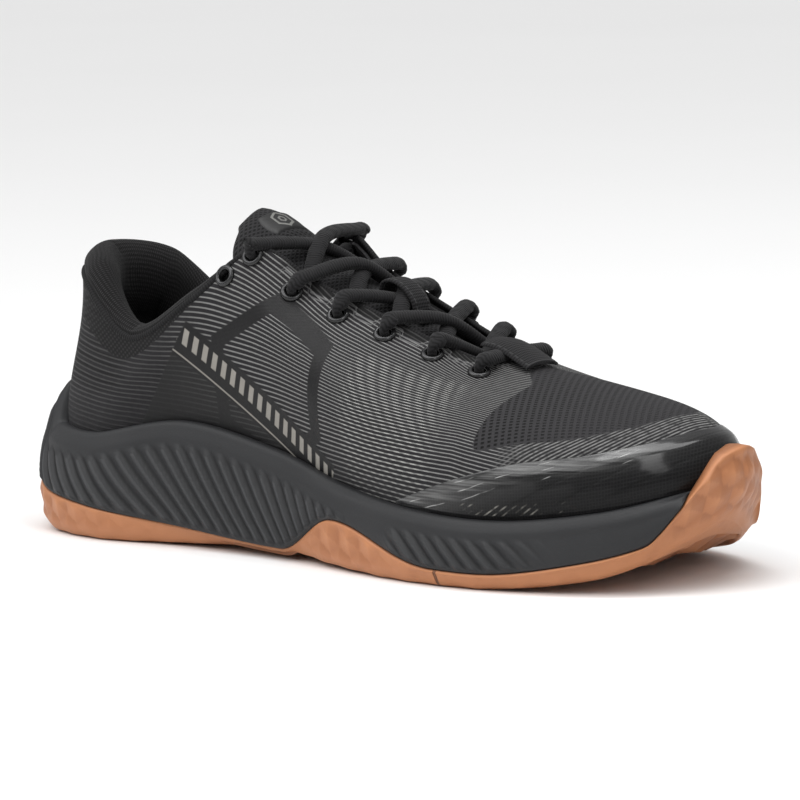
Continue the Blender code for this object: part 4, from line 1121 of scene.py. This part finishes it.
def build_window():
    """Carbon plate in the window under the waist, and the black rim round it."""
    x, y = np.meshgrid(np.arange(50.0, 120.5, 1.0), np.arange(-19.0, 17.0, 1.0), indexing="ij")
    plate = np.stack([x, y, waist_height(x) + 2.3], axis=-1)
    faces = grid_faces(*x.shape)
    centres = plate.reshape(-1, 3)[faces].mean(axis=1)
    faces = faces[in_window(centres[:, 0], centres[:, 1]) > -1.2]
    new_piece("waist_plate", plate, faces, carbon_look(), "shoe_rear", ("shank_plate",))

    outline = window_outline()
    before, after = np.roll(outline, 1, axis=0), np.roll(outline, -1, axis=0)
    first, second = unit(outline - before), unit(after - outline)
    sideways = np.stack([-(first + second)[:, 1], (first + second)[:, 0]], axis=1)
    miter = sideways / np.sum(sideways * np.stack([-first[:, 1], first[:, 0]], axis=1), axis=1, keepdims=True)
    profile = [(-1.3, 2.6), (-1.3, 0.7), (-1.0, 0.25), (0.2, 0.1), (0.7, 0.35), (0.8, 2.6)]
    inner = (in_window(*(outline + miter * 0.5).T) > in_window(*(outline - miter * 0.5).T)).mean() > 0.5
    sections = []
    for out, rise in profile:
        ring = outline + miter * (-out if inner else out)
        sections.append(np.column_stack([ring, waist_height(ring[:, 0]) + rise]))
    points = np.stack(sections, axis=1)
    faces = grid_faces(*points.shape[:2], across=True, along=True)
    new_piece("window_rim", points, faces, rim_look(), "shoe_rear")


PADDING_SCALE, PADDING_PRESSURE, PADDING_FRAMES, MOST_PUFF = 25 * MM, 4.0, 20, 2.0


def padded(points, held, closed=False):
    """Movement of a grid of points as its fabric swells over its foam, from a short cloth simulation.

    It runs on every few rows and columns of the grid. Held points stay, and none moves further than
    MOST_PUFF.
    """
    count, width = points.shape[:2]
    rows = np.linspace(0, count - 1, 80).round().astype(int)
    columns = np.arange(0, width, 3)
    coarse, pinned = points[rows][:, columns], held[rows][:, columns]
    mesh = bpy.data.meshes.new("padding")
    mesh.from_pydata((coarse.reshape(-1, 3) * PADDING_SCALE).tolist(), [], grid_faces(*coarse.shape[:2], across=closed).tolist())
    shaped = bmesh.new()
    shaped.from_mesh(mesh)
    bmesh.ops.recalc_face_normals(shaped, faces=shaped.faces)
    shaped.to_mesh(mesh)
    shaped.free()
    proxy = bpy.data.objects.new("padding", mesh)
    scene = bpy.context.scene
    scene.collection.objects.link(proxy)
    proxy.vertex_groups.new(name="held").add(np.flatnonzero(pinned).tolist(), 1.0, "REPLACE")
    cloth = proxy.modifiers.new("padding", "CLOTH")
    settings = cloth.settings
    settings.vertex_group_mass = "held"
    settings.use_pressure = True
    settings.uniform_pressure_force = PADDING_PRESSURE
    settings.effector_weights.gravity = 0.0
    cloth.collision_settings.use_collision = False
    for frame_number in range(1, PADDING_FRAMES + 1):
        scene.frame_set(frame_number)
    swollen = proxy.evaluated_get(bpy.context.evaluated_depsgraph_get()).to_mesh()
    moved = np.empty(len(swollen.vertices) * 3)
    swollen.vertices.foreach_get("co", moved)
    bpy.data.objects.remove(proxy)
    scene.frame_set(1)
    moved = moved.reshape(coarse.shape) / PADDING_SCALE - coarse
    length = np.linalg.norm(moved, axis=-1, keepdims=True)
    moved *= np.minimum(1, MOST_PUFF / np.maximum(length, 1e-9))
    if closed:
        moved = np.concatenate([moved, moved[:, :1]], axis=1)
        columns = np.append(columns, width)
    down = [np.interp(np.arange(count), rows, line) for line in moved.reshape(len(rows), -1).T]
    down = np.array(down).T.reshape(count, len(columns), 3)
    return np.array([[np.interp(np.arange(width), columns, line) for line in row.T] for row in down]).swapaxes(1, 2)


COLLAR_REACH = 3.85  # stations on either side of the heel


def build_collar():
    """Padded collar: one shell of spacer mesh over the topline and down to the insole, thickest at the back."""
    t = np.linspace(-COLLAR_REACH, COLLAR_REACH, 360)
    taper = smooth_step((COLLAR_REACH - np.abs(t)) / 0.9)
    back = near(t, 0, 2.6, 2.4)
    thick = (5.5 + 5.0 * back) * (0.35 + 0.65 * taper)
    rise = (3.0 + 4.0 * back) * taper
    inside = np.concatenate([inward(t), np.zeros((len(t), 1))], axis=1)
    up = np.array([0.0, 0.0, 1.0])
    edge = upper(t, 1.0)
    face = 2.5

    def over(reach, height):
        return edge + inside * np.asarray(reach)[..., None] + up * np.asarray(height)[..., None]

    def behind(v, reach):
        return upper(t, v) + inside * np.asarray(reach)[..., None]

    full = np.ones(len(t))
    bed = level(t, at(BED_INSET, t) + 5.2, at(BED_TOP, t) + 4.5)
    controls = [
        behind(0.86, 2.0 * full),
        over(1.6 * full, -1.2 * full),
        over(0.7 * full, 0.9 + 0.12 * rise),
        over(1.1 * full, 0.5 * rise + 1.2),
        over(face + 0.28 * thick, rise + 1.25),
        over(face + 0.62 * thick, rise + 1.15),
        over(face + thick + 0.8, 0.3 * rise),
        behind(0.9, face + thick + 1.1),
        behind(0.72, face + thick * 0.85 + 1.0),
        behind(0.5, 5.4 * full),
        behind(0.25, 5.0 * full),
        bed,
    ]
    points = np.swapaxes(curve_through(controls, 8), 0, 1)
    rows = np.arange(points.shape[1])
    held = (rows < 16) | (rows > 70) | (np.abs(rows - 50) < 3)
    points = points + padded(points, np.broadcast_to(held, points.shape[:2]) | (np.abs(t) > COLLAR_REACH - 0.2)[:, None])
    along = distances(np.swapaxes(points, 0, 1)[30:31])[0]
    fields = {"along": np.repeat(along[:, None], points.shape[1], axis=1), "across": distances(points)}
    faces = grid_faces(*points.shape[:2])
    replaced = ("collar_foam", "collar_lining")
    new_piece("collar_pad", points, faces, padding_look(), "shoe_rear", replaced, fields)


def tube(path, radius, sides, closed=False):
    """Sections of a round cord along a path."""
    if closed:
        along = unit(np.roll(path, -1, axis=0) - np.roll(path, 1, axis=0))
    else:
        along = unit(np.gradient(path, axis=0))
    across = unit(np.cross(along, [0.0, 0.0, 1.0]))
    other = np.cross(across, along)
    angles = np.arange(sides) * 2 * math.pi / sides
    radius = np.broadcast_to(radius, len(path))[:, None, None]
    turned = np.cos(angles)[None, :, None] * across[:, None] + np.sin(angles)[None, :, None] * other[:, None]
    return path[:, None] + radius * turned


def build_binding():
    """Narrow binding over the upper's edge, thinner along the throat."""
    t = dense_stations(1000)
    path = upper(t, 1.0) - upper_normal(t, 1.0) * RIM_RADIUS + [0, 0, 0.15]
    radius = 0.95 + 0.35 * near(t, 0, 4.2, 0.6)
    points = tube(path, radius, 12, closed=True)
    along = np.concatenate([[0], np.cumsum(np.linalg.norm(np.diff(path, axis=0), axis=1))])
    fields = {"along": np.repeat(along[:, None], 12, axis=1)}
    faces = grid_faces(*points.shape[:2], across=True, along=True)
    new_piece("topline_binding", points, faces, binding_look(), BEND, (), fields)


def tongue_shape(x):
    """Height of the tongue's ridge, its half width and its drop, at distances forward."""
    rows = np.array(sorted(TONGUE_ROWS + TONGUE_TOP_ROWS), float)
    curve = curve_through(rows, 6)
    return [np.interp(x, curve[:, 0], curve[:, k]) for k in (1, 2, 3)]


def build_tongue():
    """Padded tongue, which thickens into a rounded pad at its free end."""
    x = np.concatenate([np.linspace(45.6, 52, 26)[:-1], np.linspace(52, 162, 170)])
    ridge, half, drop = tongue_shape(np.maximum(x, 47.0))
    pad = smooth_step((76 - x) / 16)
    rounding = np.sqrt(np.clip(1 - (np.clip(51.6 - x, 0, 6) / 6.05) ** 2, 0, 1))
    thick = (3.2 + 3.6 * pad) * (0.15 + 0.85 * rounding)
    half = half * (0.8 + 0.2 * rounding) * (1 + 0.03 * pad)
    angles = np.linspace(0, 2 * math.pi, 72, endpoint=False)[None]
    c, s = np.cos(angles), np.sin(angles)
    side = np.sign(c) * np.abs(c) ** 0.8
    y = half[:, None] * side
    body = np.sign(s) * np.abs(s) ** 0.6
    puff = 0.7 * pad[:, None] * np.clip(s, 0, 1) * (1 - side**2)
    z = ridge[:, None] - drop[:, None] * side**2 - thick[:, None] / 2 * (1 - body) + puff
    points = np.stack([np.repeat(x[:, None], 72, axis=1), y, z], axis=-1)
    held = np.broadcast_to(x[:, None] > 100, y.shape) | (np.abs(side) > 0.93) | (s < 0)
    points = points + padded(points, held, closed=True)
    along = distances(np.stack([x, ridge], axis=-1)[None])[0]
    fields = {"along": np.repeat(along[:, None], 72, axis=1), "across": y}
    replaced = ("tongue", "tongue_top")
    faces = capped(*points.shape[:2])
    new_piece("padded_tongue", points, faces, tongue_look(), TONGUE_BEND, replaced, fields)


def build_badge():
    """Thin rounded badge on the tongue's free end, with a plain hexagon outline."""
    low, high, half_width = 51.0, 60.6, 9.5
    middle = (low + high) / 2
    u, w = np.meshgrid(np.linspace(-1, 1, 41), np.linspace(-1, 1, 61), indexing="ij")
    corner = np.maximum(np.abs(u), np.abs(w))
    round_u = u * (high - low) / 2
    round_w = w * half_width * np.sqrt(1 - 0.28 * u**2)
    x = middle + round_u
    ridge, half, drop = tongue_shape(x)
    lift = 1.35 * np.sqrt(np.clip(1 - corner**10, 0, 1)) + 0.3
    z = ridge - drop * (round_w / half) ** 2 + lift
    points = np.stack([x, round_w, z], axis=-1)
    fields = {"along": round_u * 1.15, "across": round_w}
    faces = grid_faces(*x.shape)
    new_piece("tongue_patch", points, faces, badge_look(), "tongue_flap", ("tongue_badge",), fields)


class Spot:
    """A place on the upper: its centre, its outward normal and the direction of the throat's edge."""

    def __init__(self, side, place):
        forward, out = place
        self.t, self.v = place_on_upper(forward, side * out)
        self.centre = upper(self.t, self.v)
        self.normal = upper_normal(self.t, self.v)
        towards = np.array([0.0, -side, 0.0])
        towards = towards - self.normal * (towards @ self.normal)
        self.towards = towards / np.linalg.norm(towards)
        # Distance from the centre to the throat's edge.
        self.setback = abs(upper(self.t, 1.0)[1] - self.centre[1]) / abs(self.towards[1])

    def point(self, out, along=0.0):
        return self.centre + self.normal * out + self.towards * along

    def reaches(self, points, radius, depth):
        """True for points within a radius of the spot's normal, and no deeper than depth."""
        offset = points - self.centre
        height = offset @ self.normal
        return (np.linalg.norm(offset - height[:, None] * self.normal, axis=1) < radius) & (np.abs(height) < depth)


# Section of an eyelet, as radius and height over the fabric: a barrel under a rolled flange.
EYELET_PROFILE = [
    (2.15, -2.4), (2.12, 0.1), (2.2, 0.7), (2.5, 1.15), (3.0, 1.35), (3.5, 1.2), (3.9, 0.8),
    (4.05, 0.35), (3.9, 0.05), (3.3, 0.0), (2.7, -0.4), (2.6, -2.4),
]


def build_eyelets(spots):
    """Rolled rings, paler and partly metallic on their crest."""
    profile = curve_through(EYELET_PROFILE, 3)
    angles = np.arange(48) * 2 * math.pi / 48
    look = gloss_look()
    pale_metal = smooth_step((profile[:, 1] - 0.75) / 0.5)
    for side, word in ((1, "medial"), (-1, "lateral")):
        for k, spot in enumerate(spots[side]):
            other = np.cross(spot.normal, spot.towards)
            spokes = np.cos(angles)[:, None] * spot.towards + np.sin(angles)[:, None] * other
            radii, heights = profile[:, 0][None, :, None], profile[:, 1][None, :, None]
            points = spot.centre + spokes[:, None] * radii + spot.normal * heights
            faces = grid_faces(*points.shape[:2], across=True, along=True)
            name = f"{word}_{k + 1}"
            fields = {"pale_metal": np.repeat(pale_metal[None], 48, axis=0)}
            new_piece(f"ring_{name}", points, faces, look, "shoe_rear", (f"eyelet_{name}",), fields)


def lace_half(spots, side, lift):
    """One half of the lace, from the middle of the first row: rows of place and width.

    It dives through the first eyelet on its side, comes out under that edge and dives through the next
    eyelet on the other side, and so on. Its end is tucked in under the quarters. Lift raises it over the
    other half where they cross.
    """
    rows = []

    def add(place, width=LACE_WIDTH):
        rows.append((*place, width))

    def crossing(first, second):
        x = (first.centre[0] + second.centre[0]) / 2
        add((x, 0, float(tongue_shape(x)[0]) + LACE_THICKNESS / 2 + LACE_REST + lift))

    def through(spot):
        add(spot.point(3.9, 2.4))
        for out in (2.7, 0.0, -3.4):
            add(spot.point(out), LACE_IN_HOLE)
        add(spot.point(-LACE_DEPTH - 0.6, 0.8))

    def over_edge(spot):
        add(spot.point(LACE_OVER, spot.setback))

    def under_edge(spot):
        add(spot.point(-LACE_DEPTH, spot.setback - 1))

    own, other = spots[side], spots[-side]
    add((own[0].centre[0], 0, FIRST_ROW_HEIGHT))
    for k in range(LACED):
        here = (own, other)[k % 2][k]
        over_edge(here)
        through(here)
        if k < LACED - 1:
            under_edge(here)
            crossing(here, (other, own)[k % 2][k + 1])
    add(layer(here.t, here.v - TUCK_STEP, TUCK_DEPTH), LACE_IN_HOLE)
    add(layer(here.t, here.v - 2 * TUCK_STEP, TUCK_DEPTH + 0.9), LACE_IN_HOLE)
    return rows


LACE_STEP, LACE_SIDES = 0.42, 16
RIB_OF_LACE, RIB_DEPTH = 1.3, 0.035


def build_lace(spots):
    """Round-edged braided lace through six eyelets a side, with ribs across it."""
    rows = curve_through(lace_half(spots, 1, 0.0)[::-1] + lace_half(spots, -1, LACE_LIFT)[1:], 24)
    run = distances(rows[None, :, :3])[0]
    steps = np.arange(0, run[-1], LACE_STEP)
    path = np.stack([np.interp(steps, run, rows[:, k]) for k in range(4)], axis=1)
    place, width = path[:, :3], path[:, 3]
    along = unit(np.gradient(place, axis=0))
    wide = unit(THROAT_LINE - along * (along @ THROAT_LINE)[:, None])
    high = np.cross(along, wide)
    angles = np.arange(LACE_SIDES) * 2 * math.pi / LACE_SIDES
    swell = 1 + RIB_DEPTH * np.sin(steps * 2 * math.pi / RIB_OF_LACE)
    squeezed = (width - LACE_IN_HOLE) / (LACE_WIDTH - LACE_IN_HOLE)
    half_wide = swell * (1.8 + 1.2 * squeezed)
    half_high = swell * (1.6 + 0.5 * squeezed)
    points = (
        place[:, None]
        + (half_wide[:, None] * np.cos(angles))[..., None] * wide[:, None]
        + (half_high[:, None] * np.sin(angles))[..., None] * high[:, None]
    )
    fields = {
        "along": np.repeat(steps[:, None], LACE_SIDES, axis=1),
        "around": np.repeat(angles[None], len(steps), axis=0),
    }
    faces = capped(*points.shape[:2])
    new_piece("braided_lace", points, faces, cord_look(), "shoe_rear", ("lace",), fields)


def strap(name, path, width, crown, look, body, replaced, thickness=1.2):
    """A woven band across the shoe. Its underside follows a path of x and z, and its sides droop."""
    path = curve_through(path, 12)
    run = distances(path[None])[0]
    along = unit(np.gradient(path, axis=0))
    normal = np.stack([-along[:, 1], along[:, 0]], axis=1)
    if normal[:, 1].mean() < 0:
        normal = -normal
    share = np.linspace(-1, 1, 25)
    rounding = np.sqrt(np.clip(1 - share**12, 0, 1))
    rows = []
    for side, height in ((1, thickness), (-1, 0.0)):
        across = share[::side]
        lift = thickness / 2 + (height - thickness / 2) * rounding[::side]
        x = path[:, None, 0] + normal[:, None, 0] * lift
        z = path[:, None, 1] + normal[:, None, 1] * lift - crown * across**2
        rows.append(np.stack([x, np.broadcast_to(across * width / 2, x.shape), z], axis=-1))
    points = np.concatenate(rows, axis=1)
    across = points[..., 1]
    from_end = np.minimum(run, run[-1] - run)[:, None]
    fields = {
        "along": np.repeat(run[:, None], points.shape[1], axis=1),
        "across": across,
        "edge": np.minimum(width / 2 - np.abs(across), from_end + 0.8),
    }
    new_piece(name, points, capped(*points.shape[:2]), look, body, replaced, fields)


TAB_PATH = [(171.5, 69.6), (167.5, 71.6), (163.5, 73.6), (159.5, 75.3), (155.5, 76.4), (151.5, 76.6)]
LOOP_PATH = [(122, 0.3), (118.8, 1.8), (117.4, 6.0), (113.5, 8.4), (109, 8.4), (105.1, 6.0), (103.8, 1.8), (100.6, 0.3)]


def build_straps():
    """The tab over the first row of the lace, the loop on the tongue and the tape at the heel."""
    look = webbing_look()
    strap("webbing_tab", TAB_PATH, 17.5, 1.4, look, "shoe_rear", ("throat_tab",))
    loop = [(x, float(tongue_shape(x)[0]) + rise) for x, rise in LOOP_PATH]
    strap("webbing_loop", loop, 9.5, 0.3, look, "shoe_rear", ("tongue_lace_loop",))

    t, v = np.meshgrid(np.linspace(-0.2, 0.2, 33), np.linspace(0.68, 1.0, 49), indexing="ij")
    flat = upper(t, v)
    u, w = t / 0.2, (v - 0.84) / 0.16
    rounding = np.sqrt(np.clip(1 - np.abs(u) ** 8, 0, 1) * np.clip(1 - np.abs(w) ** 12, 0, 1))
    points = layer(t, v, 0.25 - 1.35 * rounding)
    across = (flat[..., 1])
    fields = {
        "along": distances(flat),
        "across": across,
        "edge": np.abs(flat[:1, :, 1]) - np.abs(across),
    }
    new_piece("heel_webbing", points, grid_faces(*t.shape), look, "shoe_rear", ("heel_tape",), fields)


def slab(name, inset, low, high, look, replaced, columns=60):
    """A layer on the footbed with rounded edges."""
    t = dense_stations(400)
    bed = at(BED_TOP, t)
    top = ladder(level(t, at(BED_INSET, t) + inset + 0.6, bed + high), columns)
    rows = [(0.6, high), (0.2, high - 0.2), (0.0, (low + high) / 2), (0.2, low + 0.1), (0.6, low)]
    sides = np.stack([level(t, at(BED_INSET, t) + inset + more, bed + z) for more, z in rows], axis=1)
    under = ladder(sides[:, -1], columns)
    parts = (top, sides, under)
    faces, start = [], 0
    for points, closed in zip(parts, (False, True, False)):
        faces.append(grid_faces(*points.shape[:2], along=closed) + start)
        start += points.shape[0] * points.shape[1]
    points = np.concatenate([part.reshape(-1, 3) for part in parts])
    new_piece(name, points, np.concatenate(faces), look, BEND, replaced)


def finish_frame_nodes():
    """Materials for the frame's own pieces that stay: the stiffeners, the eyestays and the lace's tips."""
    card = fibre_look("moulded_stiffener", (0.1, 0.1, 0.1), (0.2, 0.195, 0.19), 2.0, has_rest=False)
    backing = fibre_look("fabric_backing", (0.014, 0.014, 0.015), (0.04, 0.039, 0.041), 1.2, has_rest=False)
    tip = gloss_look("lace_tip", has_rest=False)
    looks = {
        "heel_counter": card,
        "toe_puff": card,
        "eyestay_medial": backing,
        "eyestay_lateral": backing,
        "aglet_medial": tip,
        "aglet_lateral": tip,
    }
    for name, look in looks.items():
        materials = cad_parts[name].data.materials
        materials.clear()
        materials.append(look)


def build_studio():
    """Pale floor, white surroundings and soft lights."""
    size = 6.0
    mesh = bpy.data.meshes.new("floor")
    corners = [(-size, -size, 0), (size, -size, 0), (size, size, 0), (-size, size, 0)]
    mesh.from_pydata(corners, [], [(0, 1, 2, 3)])
    floor = bpy.data.objects.new("floor", mesh)
    bpy.context.scene.collection.objects.link(floor)
    look = Look("pale_floor", has_rest=False)
    paper = look.noise(400.0)
    mesh.materials.append(look.finish(mixed((0.84, 0.84, 0.84), (0.87, 0.87, 0.87), paper), 0.7))

    world = bpy.data.worlds.new("studio")
    world.use_nodes = True
    sky = world.node_tree.nodes["Background"]
    sky.inputs["Color"].default_value = (1, 1, 1, 1)
    sky.inputs["Strength"].default_value = SKY
    sun = bpy.data.lights.new("broad_sun", "SUN")
    sun.energy, sun.angle = SUN, math.radians(70)
    lamp = bpy.data.objects.new("broad_sun", sun)
    lamp.matrix_world = looking(np.array([-0.35, -0.6, 1.2]), np.zeros(3))
    bpy.context.scene.collection.objects.link(lamp)
    bpy.context.scene.world = world
    bpy.context.scene.view_settings.view_transform = "Standard"
    for name, place, target, width, height, power in LIGHTS:
        light = bpy.data.lights.new(name, "AREA")
        light.shape = "RECTANGLE"
        light.size, light.size_y, light.energy = width, height, power
        lamp = bpy.data.objects.new(name, light)
        lamp.matrix_world = looking(np.array(place), np.array(target))
        bpy.context.scene.collection.objects.link(lamp)


def looking(place, target, roll=0.0):
    """Matrix of a camera or a light at a place, pointing at a target."""
    back = unit(place - target)
    right = unit(np.cross([0.0, 0.0, 1.0], back))
    up = np.cross(back, right)
    turned_right = right * math.cos(roll) + up * math.sin(roll)
    turned_up = up * math.cos(roll) - right * math.sin(roll)
    matrix = np.eye(4)
    matrix[:3] = np.stack([turned_right, turned_up, back, place], axis=1)
    return Matrix(matrix.tolist())


SKY, SUN = 0.42, 1.9
# Name, place, target, width and height in metres, and power.
LIGHTS = [
    ("key", (-0.5, -1.3, 1.5), (0.1, 0.0, 0.05), 1.6, 1.0, 7.0),
    ("overhead", (0.3, 0.1, 1.3), (0.15, 0.0, 0.05), 0.5, 0.9, 7.0),
    ("toe_strip", (1.1, -0.5, 1.0), (0.2, 0.0, 0.05), 0.3, 1.0, 4.0),
]
CAMERA_AZIMUTH, CAMERA_ELEVATION, CAMERA_ROLL = 39.8, 7.6, -1.3
CAMERA_DISTANCE, CAMERA_LENS = 1.94, 250.0
CAMERA_TARGET = (0.108, 0.0, 0.053)


def build_camera():
    """Low view from the front of the lateral side."""
    a, e = math.radians(CAMERA_AZIMUTH), math.radians(CAMERA_ELEVATION)
    back = np.array([math.sin(a) * math.cos(e), -math.cos(a) * math.cos(e), math.sin(e)])
    target = np.array(CAMERA_TARGET)
    data = bpy.data.cameras.new("camera")
    data.lens = CAMERA_LENS
    camera = bpy.data.objects.new("camera", data)
    camera.matrix_world = looking(target + back * CAMERA_DISTANCE, target, math.radians(CAMERA_ROLL))
    bpy.context.scene.collection.objects.link(camera)
    bpy.context.scene.camera = camera


spots = {side: [Spot(side, place) for place in EYELET_PLACES] for side in (1, -1)}
build_skin(spots)
build_film()
build_midsole()
build_outsole()
build_window()
build_collar()
build_binding()
build_tongue()
build_badge()
build_eyelets(spots)
build_lace(spots)
build_straps()
slab("sock_lining", 5.0, 2 * GAP + 1.2, 2 * GAP + 5.7, insole_look(), ("insole_rear", "insole_front"))
board = fibre_look("lasting_board", (0.2, 0.165, 0.12), (0.42, 0.36, 0.28), 2.5)
slab("lasting_board", 3.5, GAP, GAP + 1.2, board, ("insole_board_rear", "insole_board_front"), 30)
finish_frame_nodes()
build_studio()
build_camera()

bpy.context.view_layer.update()
